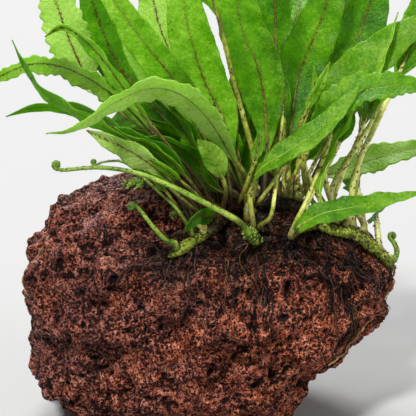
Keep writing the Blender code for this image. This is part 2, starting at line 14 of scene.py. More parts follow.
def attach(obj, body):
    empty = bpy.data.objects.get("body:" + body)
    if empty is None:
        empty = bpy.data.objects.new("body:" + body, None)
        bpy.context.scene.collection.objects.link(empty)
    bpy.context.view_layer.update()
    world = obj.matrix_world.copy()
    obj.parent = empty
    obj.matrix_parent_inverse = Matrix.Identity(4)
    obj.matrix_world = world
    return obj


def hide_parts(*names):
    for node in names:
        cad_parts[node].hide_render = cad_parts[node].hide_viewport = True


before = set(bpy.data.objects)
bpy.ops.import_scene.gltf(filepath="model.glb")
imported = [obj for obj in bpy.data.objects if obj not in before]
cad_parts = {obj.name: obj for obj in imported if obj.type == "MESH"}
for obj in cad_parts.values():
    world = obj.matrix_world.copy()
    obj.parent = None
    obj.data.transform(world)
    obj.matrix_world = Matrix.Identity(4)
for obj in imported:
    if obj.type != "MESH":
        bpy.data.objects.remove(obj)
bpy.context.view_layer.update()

MM = 0.001
GAP = 0.35 * MM

# The view from the front
VIEW_TILT = math.radians(14)
VIEW_DISTANCE = 600 * MM
PICTURE_MIDDLE = 208
PIXEL = 0.36 * MM
MIDDLE_HEIGHT = 76 * MM
SENSOR_WIDTH_MM = 36
VIEWS = {
    "front": np.array((0, math.cos(VIEW_TILT), -math.sin(VIEW_TILT))),
    "above": np.array((0.0, 0.0, -1.0)),
}

# The main forms, as the solids have them
PATH_STEPS = 16
PETIOLE_RADIUS = 1.0 * MM
PETIOLE_FOOT = 1.15
PETIOLE_TAPER = 0.3
SLIMNESS = {"left": 0.75, "front": 0.85, "centre": 0.85, "right": 1.0, "back": 0.8}
COLLAR = 2.5 * MM
BLADE_HALF_THICKNESS = 0.42 * MM
BLADE_BASE = 0.25
TIP_HALF_WIDTH = 0.7 * MM
FROND_STATIONS = 9
FROND_SIDES = 6
STATION_CROWDING = 1.15
SETTLE_REACH = 14
SWAY_STEP = 2.0
BELLY_STEP = 1.5
FROND_CLEARANCE = 0.5 * MM
THIN_REACH = 9
THIN_CLEARANCE = 0.1 * MM
CROWDED_STATIONS = 3
RHIZOME_RADIUS = 2.0 * MM
RHIZOME_SIDES = 7
RHIZOME_STATIONS = 11
RHIZOME_KNOBS = 9
RHIZOME_KNOB = 0.10
RHIZOME_END = 0.45
CROZIER_STATIONS = 10
CROZIER_SIDES = 5
CROZIER_TAPER = 0.5
COIL_STEPS = 6
COIL_TURN = math.radians(44)
COIL_TIGHTENING = 0.03
CUT_STALK_STATIONS = 5
ROOT_TAPER = 0.45
ROOT_CLEARANCE = 0.25 * MM

# The rock's skin
ROCK_GRAIN = 0.80 * MM
# The near-black of the painted shade inside the rock's pores
PORE_SHADE = (0.003, 0.001, 0.001)
# Its pores: how far apart they are, the shift of their pattern, the share of them that is
# there, how wide they are in it, and how much deeper than round
PORES = (
    (6.5 * MM, Vector((3.3, 1.2, 5.9)), 0.18, 0.34, 1.3),
    (3.9 * MM, Vector((8.1, 4.4, 2.7)), 0.45, 0.38, 1.2),
    (2.4 * MM, Vector((1.6, 9.5, 7.2)), 0.90, 0.50, 1.15),
)
BASE_HEIGHT = 3 * MM  # below this the skin moves less, so that the rock stands flat
# The oval on top of the rock that the fern keeps in the shade
FERN_MIDDLE = np.array((14, -2)) * MM
FERN_REACH = np.array((40, 34)) * MM

# The blades and the stalks: how many sides and rings they are cut into, and their finer forms
BLADE_CUTS = (16, 96)
STALK_CUTS = (8, 96)
THIN_BLADE_CUTS = (8, 64)
THIN_STALK_CUTS = (6, 60)
THIN_STALK = 0.78  # how thick the stalk of a thin frond is, beside the others
BLADE_THICKNESS = 0.30 * MM
MIDRIB_RADIUS = 0.26 * MM
VEIN_SPACING = 2.6 * MM
VEIN_LEAN = 0.8
QUILT_HEIGHT = 0.07 * MM
NICK_SPACING = 1.9 * MM
NICK_DEPTH = 0.07 * MM
LIGHT_THROUGH = 0.54  # the share of a blade's light that comes through from behind
# How long and how deep the waves of the blade's edge and of its surface are, in mm
SCALLOP_WAVES = (4.5, 7.0)
SCALLOP_DEPTHS = (0.10, 0.26)
RUFFLE_WAVES = (11, 16)
RUFFLE_DEPTHS = (0.5, 1.0)
# How brown the stalks of each rhizome are at their feet, and how much of the length that takes
FOOT_BROWN = {"left": 1.0, "front": 0.5, "centre": 1.0, "right": 0.45, "back": 1.0}
FOOT_SHARE = {"left": 0.52, "front": 0.18, "centre": 0.30, "right": 0.18, "back": 0.36}

# The stems, the roots and the moss
RHIZOME_BUMPS = 26
BUDS_PER_MM = 6
SCALE_SINK = 0.94  # where a scale starts, as a share of the stem's radius
COIL_TIGHTNESS = 0.72  # the radius of the coil, beside the solid's
COIL_TURNS = math.radians(500)
ROOT_CUTS = (6, 60)
STRAND_CUTS = (3, 18)
STRAND_TAPER = 0.6
BUNDLE_STRANDS = 9
SHORTEST_STRAND = 5
LAYING_ROUNDS = 24
MOSS_LEAVES_PER_MM = 44
DOWN = np.array((0, 0, -1.0))

# At how many places each kind of path is worked out
GROWING_PLACES = 60
FROND_PLACES = 120
RHIZOME_PLACES = 70
MAT_PLACES = 40
HAIR_PLACES = 80
CROZIER_PLACES = 90
COIL_PLACES = 60
COILED_PLACES = 160
CUT_STALK_PLACES = 40
ROOT_PLACES = 60
RUN_PLACES = 50
STRAND_PLACES = 22

FLOOR_SIZE = 40
FLOOR_DROP = 0.2 * MM
# Each light: the way that it shines, how wide it is in degrees, and its strength
SUNS = (
    ("key_light", (0.35, 0.75, -1.0), 9, 4.0),
    ("high_back_light", (0.10, -0.55, -0.66), 28, 4.0),
    ("side_light", (-0.75, 0.35, -0.36), 24, 1.2),
)

# How much of each rhizome is hidden under dark hair: the share along it, and how dark
RHIZOME_DARK = {
    "left": ((0.0, 0.08), (0.20, 0.28), (0.45, 0.26), (0.66, 0.75), (1.0, 1.0)),
    "front": ((0.0, 0.0), (0.25, 0.10), (0.45, 0.95), (1.0, 1.0)),
    "centre": ((0.0, 1.0), (1.0, 1.0)),
    "right": ((0.0, 0.60), (0.10, 0.20), (0.20, 0.34), (0.32, 0.12), (0.50, 0.02), (1.0, 0.0)),
    "back": ((0.0, 0.9), (1.0, 0.9)),
}

# The places that each rhizome passes: the pixel across and down in the view from the front, and
# the depth in mm
RHIZOMES = {
    "left": (
        (168, 257, -40), (184, 247, -37), (204, 233, -31.5), (219, 222, -25), (229, 211, -20.5)),
    "front": ((257, 245, -33), (253, 235, -30), (253, 224, -26.5), (262, 214, -24)),
    "centre": ((242, 208, -19.2), (264, 203, -20), (286, 205, -19.6), (310, 210, -18.3)),
    "right": (
        (290, 240, -30), (300, 229, -28.6), (317, 223, -25), (335, 230, -25), (352, 233, -20),
        (368, 243, -14), (383, 256, -8), (395, 270, -4)),
    "back": ((208, 163, 14), (238, 169, 16), (270, 181, 22), (304, 208, 21)),
}

Frond = namedtuple(
    "Frond", "name rhizome place width blade_from turns light path faces", defaults=("front",))

# Each frond: the rhizome and the place along it, the blade's width in mm, the share of the
# length that is bare stalk, how far the blade is turned at its start and at its tip in degrees,
# how light it is, the places that its midrib passes, and the side that it faces. The lightness
# is partly the frond's age, 0 old and dark and 1 young and pale, and partly painted light:
# the lowest values paint shade on fronds deep in the clump, and more than 1 paints light
# shining through.
FRONDS = (
    Frond("frond_arching_left", "front", 0.62, 12, 0.2, (28, 76), 1.5, (
        (248, 184, -24), (230, 152, -32), (206, 116, -42), (180, 94, -50), (150, 88, -54),
        (115, 102, -56), (75, 128, -55), (46, 134, -53))),
    Frond("frond_broad_left", "centre", 0.15, 16, 0.14, (15, -10), 0.85, (
        (233, 160, -16), (222, 115, -15), (205, 82, -16), (190, 35, -20), (184, 0, -22),
        (181, -70, -20))),
    Frond("frond_edge_on_centre", "front", 0.88, 9, 0.7, (40, 30), 0.7, (
        (256, 170, -22), (245, 123, -24), (233, 78, -26), (220, 23, -30), (213, 0, -32),
        (194, -66, -36))),
    Frond("frond_broad_centre", "centre", 0.33, 17, 0.15, (10, -10), 0.74, (
        (267, 150, -10), (264, 99, -7), (256, 62, -8), (242, 30, -10), (237, 0, -12),
        (228, -75, -14))),
    Frond("frond_tall_stalk", "centre", 0.52, 14, 0.55, (30, 20), 0.5, (
        (277, 172, -14), (284, 130, -9), (278, 85, -5), (276, 45, -3), (275, 0, 0), (272, -65, 6))),
    Frond("frond_broad_right", "centre", 0.71, 17, 0.18, (-10, 15), 0.45, (
        (288, 150, -4), (297, 84, 6), (305, 58, 8), (318, 27, 8), (328, 0, 8), (350, -62, 10))),
    Frond("frond_upper_right", "right", 0.33, 19, 0.3, (20, -15), 0.28, (
        (324, 172, -24), (335, 130, -11), (347, 88, 1), (357, 43, 10), (371, 0, 16),
        (390, -56, 20))),
    Frond("frond_sweeping_right", "right", 0.27, 16, 0.24, (15, 25), 0.75, (
        (303, 160, -12), (322, 116, -8), (348, 82, -6), (374, 58, -6), (404, 34, -6),
        (448, 6, -6))),
    Frond("frond_low_centre", "front", 0.35, 9, 0.22, (45, 20), 0.62, (
        (250, 190, -30), (262, 168, -33), (290, 150, -34), (322, 127, -33), (348, 100, -30),
        (364, 82, -28))),
    Frond("frond_drooping_right", "centre", 0.92, 13, 0.26, (35, 35), 0.55, (
        (304, 162, -20), (322, 122, -24), (348, 96, -26), (380, 88, -26), (412, 86, -25),
        (446, 94, -24))),
    Frond("frond_back_right", "back", 0.93, 13, 0.16, (40, 45), 1.35, (
        (318, 178, 24), (342, 171, 25), (362, 163, 26), (386, 156, 26), (410, 150, 26),
        (444, 146, 24))),
    Frond("frond_young_right", "right", 0.08, 9, 0.05, (35, 45), 0.62, (
        (300, 226, -40), (322, 214, -42), (350, 208, -42), (382, 201, -40), (424, 192, -37))),
    Frond("frond_pale_upper_left", "left", 0.87, 15, 0.52, (-15, 10), 1.8, (
        (206, 172, -18), (160, 138, -14), (120, 112, -11), (90, 82, -10), (72, 46, -12),
        (56, 2, -14), (40, -46, -16))),
    Frond("frond_dark_upper_left", "centre", 0.03, 15, 0.3, (30, 10), 0.25, (
        (214, 176, -14), (180, 134, -6), (146, 98, -2), (121, 68, 0), (105, 36, 0), (92, 0, 0),
        (80, -46, 2))),
    Frond("frond_long_left", "left", 0.715, 11, 0.34, (50, 62), 1.3, (
        (196, 186, -26), (160, 142, -26), (126, 106, -25), (92, 80, -24), (60, 66, -23),
        (30, 64, -22), (0, 76, -20), (-24, 92, -18))),
    Frond("frond_slender_left", "left", 0.62, 6, 0.42, (50, 66), 0.6, (
        (188, 190, -32), (145, 152, -41), (100, 124, -46), (62, 104, -47), (36, 84, -47),
        (22, 60, -46), (12, 40, -44))),
    Frond("frond_narrow_left", "back", 0.02, 11, 0.3, (50, 60), 0.75, (
        (190, 160, 8), (160, 118, 4), (128, 82, 2), (100, 52, 0), (78, 33, 0), (60, 27, 0),
        (48, 38, 2))),
    Frond("frond_wavy_left", "left", 0.44, 9, 0.3, (60, 66), 0.38, (
        (178, 196, -34), (140, 156, -30), (108, 122, -26), (80, 108, -24), (55, 106, -24),
        (30, 108, -26), (6, 117, -28))),
    Frond("frond_diagonal", "left", 0.945, 12, 0.3, (30, 15), 0.88, (
        (219, 170, -26), (205, 130, -30), (184, 92, -34), (160, 62, -37), (138, 34, -38),
        (112, -2, -38), (86, -40, -36))),
    Frond("frond_bright_diagonal", "back", 0.18, 16, 0.3, (-10, -20), 1.3, (
        (206, 148, 10), (186, 112, 10), (166, 86, 10), (144, 62, 10), (120, 36, 12), (94, 2, 14))),
    Frond("frond_pale_tall", "back", 0.26, 16, 0.3, (15, 10), 1.45, (
        (212, 138, 14), (190, 92, 16), (171, 54, 18), (157, 16, 20), (146, -44, 24))),
    Frond("frond_underside_left", "left", 0.53, 9, 0.4, (40, 35), 1.55, (
        (189, 203, -36), (172, 184, -39), (152, 165, -39), (130, 151, -38), (108, 140, -37),
        (86, 130, -36))),
    Frond("frond_round_tip", "left", 0.795, 8, 0.5, (20, 10), 1.05, (
        (226, 192, -33), (220, 172, -36), (212, 155, -38), (197, 139, -40))),
    Frond("frond_outer_right", "right", 0.58, 14, 0.62, (20, 30), 0.5, (
        (352, 196, -18), (360, 160, -14), (374, 128, -12), (388, 98, -10), (404, 62, -8),
        (424, 20, -4), (446, -20, 2))),
    Frond("frond_inner_right", "right", 0.44, 13, 0.6, (-20, 10), 0.5, (
        (331, 194, -16), (345, 164, -8), (362, 138, -2), (379, 110, 4), (396, 78, 10),
        (408, 52, 14), (420, 16, 20), (428, -24, 26))),
    Frond("frond_far_right", "right", 0.66, 12, 0.3, (50, 60), 0.5, (
        (360, 200, -8), (356, 180, 14), (356, 162, 34), (364, 152, 54), (376, 150, 70)), "above"),
    Frond("frond_speckled_back", "back", 0.58, 17, 0.12, (0, 15), 0.6, (
        (251, 150, 22), (254, 100, 26), (259, 45, 30), (260, 0, 33), (258, -40, 38))),
    Frond("frond_back_left", "back", 0.34, 14, 0.35, (10, 60), 0.5, (
        (226, 136, 24), (208, 98, 38), (191, 72, 52), (176, 56, 66), (164, 52, 82)), "above"),
    Frond("frond_back_low_left", "back", 0.1, 13, 0.3, (60, 75), 0.2, (
        (188, 144, 26), (166, 130, 38), (144, 122, 50), (124, 120, 62), (106, 126, 72)), "above"),
    Frond("frond_back_middle", "back", 0.5, 15, 0.35, (30, 85), 0.5, (
        (248, 136, 30), (243, 106, 48), (240, 88, 68), (238, 82, 88), (236, 92, 106)), "above"),
    Frond("frond_back_tall", "back", 0.67, 15, 0.26, (10, 30), 0.5, (
        (272, 132, 32), (282, 82, 42), (292, 38, 54), (300, 4, 66), (308, -18, 80))),
    Frond("frond_back_low_middle", "back", 0.42, 12, 0.25, (75, 85), 0.5, (
        (239, 146, 32), (234, 134, 50), (229, 136, 70), (226, 148, 90), (224, 168, 104)), "above"),
    Frond("frond_back_far_right", "back", 0.84, 14, 0.35, (20, 60), 0.5, (
        (296, 146, 34), (320, 108, 46), (344, 84, 58), (370, 76, 70), (394, 84, 80)), "above"),
    Frond("frond_back_low_right", "back", 0.76, 12, 0.25, (70, 80), 0.5, (
        (286, 172, 40), (302, 154, 56), (318, 148, 72), (334, 154, 88)), "above"),
    Frond("frond_behind_left", "centre", 0.24, 15, 0.2, (25, 30), 0.3, (
        (243, 178, -12), (226, 152, -4), (206, 128, 0), (184, 106, 4), (162, 90, 6), (142, 80, 8))),
    Frond("frond_behind_right", "centre", 0.81, 14, 0.26, (-15, 5), 0.2, (
        (300, 155, 0), (318, 104, 12), (332, 56, 20), (344, 10, 28), (352, -38, 36))),
    Frond("frond_thin_right", "right", 0.52, 11, 0.5, (25, 40), 0.5, (
        (354, 194, -14), (359, 164, -6), (361, 134, 2), (362, 104, 8), (364, 66, 14), (368, 26, 18),
        (374, -14, 24))),
    Frond("frond_narrow_right", "right", 0.395, 7.5, 0.14, (66, 72), 1.2, (
        (320, 200, -30), (330, 154, -16), (342, 130, -10), (356, 107, -5), (374, 80, 0),
        (388, 48, 4), (398, 12, 8))),
    Frond("leaf_small_left", "left", 0.7, 5.5, 0.16, (20, 30), 0.12, (
        (207, 216, -40), (200, 216, -46), (191, 224, -48), (183, 233, -47))),
    Frond("frond_low_left", "centre", 0.08, 9, 0.2, (45, 55), 0.15, (
        (209, 184, -30), (198, 162, -30.5), (180, 147, -31), (157, 139, -31.5), (134, 136, -32))),
    Frond("frond_side_right", "right", 0.84, 12, 0.3, (60, 65), 0.5, (
        (377, 226, 8), (377, 216, 24), (380, 208, 40), (387, 203, 55), (396, 202, 68)), "above"),
)

# Thin stalks and narrow or broken blades between the fronds, too many for solids of their own
THIN_FRONDS = (
    Frond("thin_centre_right", "centre", 0.86, 7, 0.66, (30, 40), 0.5, (
        (301, 190, -14), (310, 172, -10), (322, 148, -6), (336, 122, -2), (350, 96, 2),
        (362, 60, 6))),
    Frond("thin_right_inner", "right", 0.24, 7, 0.66, (40, 50), 0.5, (
        (310, 196, -18), (320, 174, -14), (333, 150, -8), (346, 124, 0), (356, 98, 6),
        (362, 72, 12))),
    Frond("thin_right_front", "right", 0.02, 7, 0.72, (30, 40), 0.5, (
        (297, 220, -37), (305, 204, -35), (316, 178, -30), (327, 149, -26), (336, 120, -20),
        (342, 96, -14))),
    Frond("thin_centre_front", "front", 0.42, 6, 0.74, (30, 40), 0.5, (
        (271, 216, -33), (275, 192, -30), (278, 166, -27), (281, 136, -24), (284, 106, -20),
        (286, 78, -16))),
    Frond("thin_centre_low", "centre", 0.6, 6, 0.7, (30, 40), 0.5, (
        (284, 196, -18), (294, 176, -18), (305, 152, -18), (315, 130, -17), (324, 110, -16))),
    Frond("thin_right_low", "right", 0.2, 6, 0.7, (30, 40), 0.5, (
        (306, 206, -26), (318, 184, -24), (332, 158, -20), (344, 134, -16), (354, 112, -12))),
    Frond("thin_right_middle", "right", 0.43, 7, 0.62, (20, 40), 0.5, (
        (334, 200, -16), (342, 176, -10), (353, 150, -2), (365, 122, 6), (375, 96, 12),
        (386, 60, 16))),
    Frond("thin_back_right", "back", 0.97, 8, 0.5, (30, 50), 0.5, (
        (310, 184, 22), (322, 158, 20), (334, 130, 18), (346, 104, 18), (356, 70, 20))),
    Frond("thin_brown_right", "centre", 0.965, 5, 0.8, (30, 40), 0.5, (
        (314, 190, -16), (322, 166, -16), (328, 146, -16), (333, 127, -14), (338, 110, -12))),
    Frond("stub_tall", "centre", 0.62, 4.5, 0.62, (-20, -50), 1.0, (
        (284, 176, -16), (294, 146, -18), (304, 116, -18), (316, 92, -16), (330, 62, -14))),
    Frond("stub_upright", "centre", 0.6, 3.5, 0.7, (30, 60), 0.95, (
        (286, 172, -8), (300, 134, -8), (310, 106, -6), (315, 84, -6), (314, 66, -6))),
    Frond("stub_pale", "centre", 0.4, 4.0, 0.45, (50, 80), 1.15, (
        (256, 184, -10), (256, 160, -6), (258, 138, -4), (262, 112, -2))),
    Frond("thin_centre_left", "centre", 0.06, 8, 0.4, (50, 60), 0.2, (
        (236, 184, -12), (226, 158, -8), (218, 132, -4), (212, 108, 0), (206, 84, 2))),
    Frond("thin_left_upper", "left", 0.84, 8, 0.36, (50, 65), 0.45, (
        (212, 186, -22), (200, 160, -22), (188, 136, -22), (172, 114, -20), (154, 98, -18))),
    Frond("thin_left_middle", "left", 0.68, 7, 0.38, (55, 65), 0.95, (
        (200, 196, -28), (184, 172, -28), (168, 152, -27), (150, 136, -26), (130, 126, -24))),
    Frond("thin_left_lower", "left", 0.5, 7, 0.42, (45, 60), 0.75, (
        (188, 208, -32), (172, 186, -32), (156, 168, -31), (140, 154, -30), (122, 146, -28))),
    Frond("thin_front", "front", 0.75, 6, 0.5, (40, 50), 0.5, (
        (246, 196, -24), (238, 172, -24), (228, 148, -23), (220, 122, -22), (214, 100, -21))),
    Frond("thin_back_left", "back", 0.14, 9, 0.36, (40, 50), 0.3, (
        (204, 150, 6), (186, 134, 4), (166, 122, 4), (146, 112, 4), (124, 108, 6))),
    Frond("thin_back_middle", "back", 0.44, 10, 0.3, (20, 30), 0.15, (
        (240, 150, 20), (238, 122, 18), (240, 96, 18), (244, 68, 20), (246, 40, 22))),
    Frond("thin_back_centre", "back", 0.63, 9, 0.36, (20, 30), 0.15, (
        (268, 160, 24), (280, 128, 22), (288, 100, 22), (294, 70, 24), (298, 40, 26))),
    Frond("thin_left_outer", "left", 0.34, 4, 0.5, (45, 60), 0.8, (
        (178, 208, -38), (163, 188, -38), (146, 172, -37), (128, 160, -36))),
    Frond("thin_left_low", "left", 0.57, 5, 0.4, (55, 65), 0.85, (
        (194, 204, -34), (178, 184, -34), (160, 166, -33), (140, 152, -32), (118, 142, -31))),
    Frond("thin_left_stalk", "left", 0.76, 6, 0.56, (40, 60), 0.6, (
        (206, 190, -26), (186, 166, -25), (166, 144, -24), (146, 124, -23), (126, 106, -22),
        (104, 92, -21))),
    Frond("thin_left_inner", "left", 0.9, 6, 0.42, (50, 65), 0.95, (
        (216, 182, -23), (206, 158, -23), (192, 132, -22), (176, 110, -21), (158, 94, -20))),
    Frond("thin_left_deep", "centre", 0.02, 6, 0.36, (45, 60), 0.2, (
        (226, 186, -15), (210, 160, -14), (192, 140, -13), (170, 126, -12), (146, 118, -11))),
    Frond("thin_back_low", "back", 0.07, 8, 0.3, (35, 50), 0.1, (
        (200, 156, 8), (180, 142, 8), (158, 134, 8), (136, 130, 8), (116, 130, 10))),
    Frond("thin_narrow_left", "left", 0.74, 7, 0.45, (50, 60), 0.9, (
        (200, 182, -30), (162, 138, -33), (130, 96, -34), (102, 58, -35), (80, 36, -36),
        (62, 27, -36), (45, 37, -36))),
    Frond("thin_left_dark", "left", 0.6, 8, 0.3, (40, 50), 0.1, (
        (196, 190, -34), (176, 164, -38), (152, 146, -38), (130, 136, -37), (108, 128, -36),
        (88, 120, -35))),
    Frond("thin_short_inner", "back", 0.62, 10, 0.05, (10, 20), 0.05, (
        (269, 184, 24), (270, 170, 25), (273, 154, 26), (278, 138, 27))),
    Frond("thin_left_edge", "left", 0.66, 5, 0.4, (50, 60), 0.7, (
        (198, 192, -38), (176, 166, -42), (154, 148, -43), (130, 138, -42), (112, 126, -41))),
    Frond("thin_front_upright", "left", 0.99, 5, 0.8, (40, 50), 0.7, (
        (232, 206, -24), (230, 190, -29), (227, 172, -31), (225, 156, -31), (223, 140, -30))),
    Frond("thin_front_left", "left", 0.94, 5, 0.76, (40, 50), 0.55, (
        (226, 204, -25), (220, 190, -29), (213, 174, -31), (206, 159, -32), (199, 146, -32))),
    Frond("thin_front_leaning", "left", 0.88, 5, 0.74, (45, 55), 0.6, (
        (216, 206, -28), (206, 194, -32), (194, 182, -34), (182, 171, -36), (168, 160, -37))),
    Frond("thin_front_outer", "left", 0.8, 5, 0.7, (45, 60), 0.55, (
        (208, 206, -31), (196, 194, -35), (182, 182, -38), (167, 170, -40), (150, 160, -41))),
    Frond("thin_front_crossing", "centre", 0.02, 5, 0.78, (30, 40), 0.6, (
        (239, 202, -23), (245, 188, -27), (251, 172, -29), (256, 156, -29), (260, 140, -28))),
    Frond("thin_front_right", "centre", 0.22, 5, 0.76, (30, 40), 0.75, (
        (257, 204, -25), (266, 192, -28), (276, 178, -30), (286, 162, -31), (295, 147, -32))),
    Frond("thin_front_low", "left", 0.7, 4, 0.72, (50, 60), 0.55, (
        (199, 212, -34), (186, 202, -37), (173, 191, -38), (160, 180, -39), (146, 170, -39))),
    Frond("thin_middle_upright", "centre", 0.12, 5, 0.72, (40, 50), 0.35, (
        (245, 200, -16), (243, 184, -17), (240, 166, -18), (237, 148, -18), (235, 128, -17))),
    Frond("thin_short_left", "back", 0.36, 9, 0.1, (20, 20), 0.15, (
        (229, 168, 22), (234, 150, 23), (241, 130, 25), (246, 108, 27))),
    Frond("thin_short_middle", "back", 0.55, 9, 0.1, (10, 20), 0.1, (
        (255, 170, 24), (259, 152, 25), (265, 134, 27), (270, 114, 29))),
    Frond("thin_short_right", "back", 0.8, 8, 0.1, (0, 20), 0.1, (
        (288, 174, 27), (296, 156, 28), (306, 138, 30), (314, 120, 32))),
    Frond("thin_short_centre", "centre", 0.3, 8, 0.12, (30, 30), 0.2, (
        (246, 190, -14), (243, 172, -10), (245, 152, -6), (250, 130, -2))),
    Frond("thin_behind_left", "back", 0.3, 12, 0.22, (10, 20), 0.0, (
        (224, 150, 26), (227, 126, 28), (232, 100, 30), (237, 76, 32))),
    Frond("thin_behind_middle", "back", 0.53, 12, 0.22, (10, 20), 0.0, (
        (252, 158, 28), (258, 134, 30), (263, 108, 32), (267, 82, 34))),
    Frond("thin_behind_centre", "back", 0.73, 12, 0.22, (-10, 10), 0.0, (
        (278, 162, 28), (286, 140, 30), (293, 116, 32), (299, 92, 34))),
    Frond("thin_behind_right", "back", 0.88, 11, 0.26, (-10, 10), 0.05, (
        (298, 168, 30), (308, 144, 32), (318, 118, 34), (326, 92, 36))),
    Frond("thin_bright_left", "centre", 0.1, 9, 0.34, (20, 10), 1.55, (
        (216, 158, -17), (192, 120, -20), (168, 94, -21), (149, 75, -21), (132, 54, -21),
        (120, 32, -21))),
)

# How much lighter the stalks of each rhizome are
STALK_LIGHTNESS = {"left": -0.10, "front": -0.04, "centre": -0.03, "right": 0.09, "back": -0.06}
# The fronds whose rib stays green all along; the others have a brown, speckled one
GREEN_RIBS = (
    "frond_arching_left", "frond_sweeping_right", "frond_low_centre", "frond_drooping_right",
    "frond_young_right", "frond_back_right", "frond_slender_left", "frond_wavy_left",
    "frond_round_tip", "frond_narrow_right", "thin_bright_left",
    "stub_tall", "stub_upright", "stub_pale",
)
# The fronds whose rib is brown only on the lower part of the blade
GREEN_ABOVE = ("frond_diagonal", "frond_broad_left", "frond_broad_centre", "frond_bright_diagonal")
# The fronds with deeper and closer scallops along the blade's edge
SCALLOPED = (
    "frond_arching_left", "frond_drooping_right", "frond_back_right",
    "frond_pale_upper_left", "frond_long_left",
)

Crozier = namedtuple("Crozier", "name rhizome place radius curl path")

# Young fronds still coiled at the tip: their curl is the radius of the coil in mm
CROZIERS = (
    Crozier("crozier_long", "front", 0.18, 1.15, -1.9, (
        (238, 221, -43), (209, 205, -48), (175, 188, -49), (141, 174, -48),
        (108, 168, -46), (85, 168, -46), (66, 170, -46), (56, 169, -46))),
    Crozier("crozier_thin", "left", 0.37, 0.65, -1.5, (
        (176, 208, -44), (160, 193, -42), (145, 179, -40), (130, 166, -38),
        (118, 161, -38), (104, 162, -38), (95, 165, -38))),
    Crozier("crozier_short", "left", 0.12, 1.0, 1.6, (
        (166, 240, -44), (155, 229, -46), (147, 219, -47), (140, 210, -47), (134, 204, -47))),
    Crozier("crozier_right", "right", 0.965, 1.3, -1.5, (
        (394, 260, 0), (397, 251, 1), (394, 243, 2), (390, 238, 2))),
)

# A stalk that has lost its blade: the rhizome, the place on it, the radius in mm and the path
CUT_STALK = Crozier("stalk_cut_left", "left", 0.48, 0.9, 0, ((200, 226, -41), (194, 218, -45)))

# Thick roots that lie on the rock: the radius in mm, and the places as for the rhizomes
ROOTS = {
    "root_left": (0.65, (
        (64, 232, -12), (46, 244, -14), (32, 262, -14), (25, 280, -14), (27, 302, -14))),
    "root_right_loop": (0.6, ((398, 272, 0), (399, 282, -4), (392, 292, -8), (384, 300, -12))),
    "root_lower_right": (0.65, (
        (374, 322, -20), (362, 340, -22), (346, 352, -24), (328, 364, -26))),
    "root_front_left": (0.5, ((190, 252, -44), (186, 276, -46), (192, 302, -48), (186, 330, -48))),
    "root_front_middle": (0.5, (
        (265, 254, -40), (266, 285, -44), (267, 318, -46), (267, 350, -46))),
    "root_front_right": (0.5, (
        (302, 240, -36), (322, 258, -38), (338, 284, -38), (345, 312, -38), (341, 345, -36))),
    "root_right": (0.5, ((344, 246, -28), (362, 263, -26), (377, 282, -22), (386, 298, -18))),
    "root_top_left": (0.5, ((158, 252, -42), (140, 262, -44), (122, 276, -46), (112, 296, -48))),
}
# Masses of fine dark roots: the pixels that they run over, how many, and how far they spread in mm
ROOT_RUNS = (
    (((300, 238), (318, 252), (336, 276), (345, 305), (340, 345)), 20, 2.0),
    (((318, 240), (345, 262), (368, 284), (384, 300)), 12, 2.2),
    (((342, 246), (362, 262), (380, 286)), 8, 1.8),
    (((330, 262), (350, 290), (358, 318), (346, 348)), 14, 2.2),
    (((352, 300), (350, 330), (338, 356)), 10, 2.0),
    (((262, 250), (266, 290), (267, 330), (266, 356)), 9, 0.8),
    (((262, 285), (252, 312), (256, 345), (264, 374)), 7, 1.2),
    (((274, 300), (272, 330), (268, 350)), 5, 0.8),
    (((235, 248), (232, 290), (238, 330)), 8, 2.4),
    (((285, 245), (300, 262), (316, 284)), 14, 2.2),
)
# How many fine roots each rhizome has
ROOT_COUNTS = {"left": 90, "front": 80, "centre": 120, "right": 45, "back": 140}
# How many short hairs it has over its dark parts
HAIR_COUNTS = {"left": 60, "front": 30, "centre": 130, "right": 90, "back": 90}
# Tufts of moss on the rock: the pixel, and the size in mm
MOSS_TUFTS = (
    ((136, 184), 2.4), ((131, 186), 1.8), ((141, 186), 1.4), ((188, 206), 1.4),
    ((176, 213), 1.8), ((204, 236), 1.5), ((318, 218), 2.0), ((256, 241), 1.7),
)
# The thick roots that are single and amber; the others are bundles of dark strands
AMBER_ROOTS = ("root_left", "root_right_loop", "root_lower_right")

# Where the random numbers of each kind of piece start
SEEDS = {"rock": 600, "rhizome": 100, "frond": 200, "thin frond": 300, "crozier": 300,
         "cut stalk": 400, "thick root": 500, "fine roots": 600, "moss": 700}


# Paths and frames, as the solids have them

def seen(across, down, depth_mm):
    """The point at this depth that shows at this pixel of the view from the front."""
    depth = depth_mm * MM
    rise = (PICTURE_MIDDLE - down) * PIXEL
    tilt_cos = math.cos(VIEW_TILT)
    tilt_sin = math.sin(VIEW_TILT)
    nearness = 1 + depth * tilt_cos / VIEW_DISTANCE
    height = (rise * nearness - depth * tilt_sin) / (tilt_cos + rise * tilt_sin / VIEW_DISTANCE)
    away = depth * tilt_cos - height * tilt_sin
    sideways = (across - PICTURE_MIDDLE) * PIXEL * (1 + away / VIEW_DISTANCE)
    return np.array((sideways, depth, MIDDLE_HEIGHT + height))


def smooth_path(points, count, crowding=1.0):
    """Places on a smooth curve through the points, closer together at its start if crowded."""
    points = [np.array(point, dtype=float) for point in points]
    before = 2 * points[0] - points[1]
    after = 2 * points[-1] - points[-2]
    guides = [before, *points, after]
    steps = np.linspace(0, 1, PATH_STEPS, endpoint=False)[:, None]
    runs = []
    for a, b, c, d in zip(guides, guides[1:], guides[2:], guides[3:]):
        cubic = (3 * (b - c) + d - a) * steps ** 3
        square = (2 * a - 5 * b + 4 * c - d) * steps ** 2
        runs.append(b + 0.5 * (cubic + square + (c - a) * steps))
    dense = np.vstack([*runs, points[-1]])
    lengths = np.linalg.norm(np.diff(dense, axis=0), axis=1)
    along = np.concatenate([[0.0], np.cumsum(lengths)])
    wanted = np.linspace(0, 1, count) ** crowding * along[-1]
    return np.column_stack([np.interp(wanted, along, dense[:, axis]) for axis in range(3)])


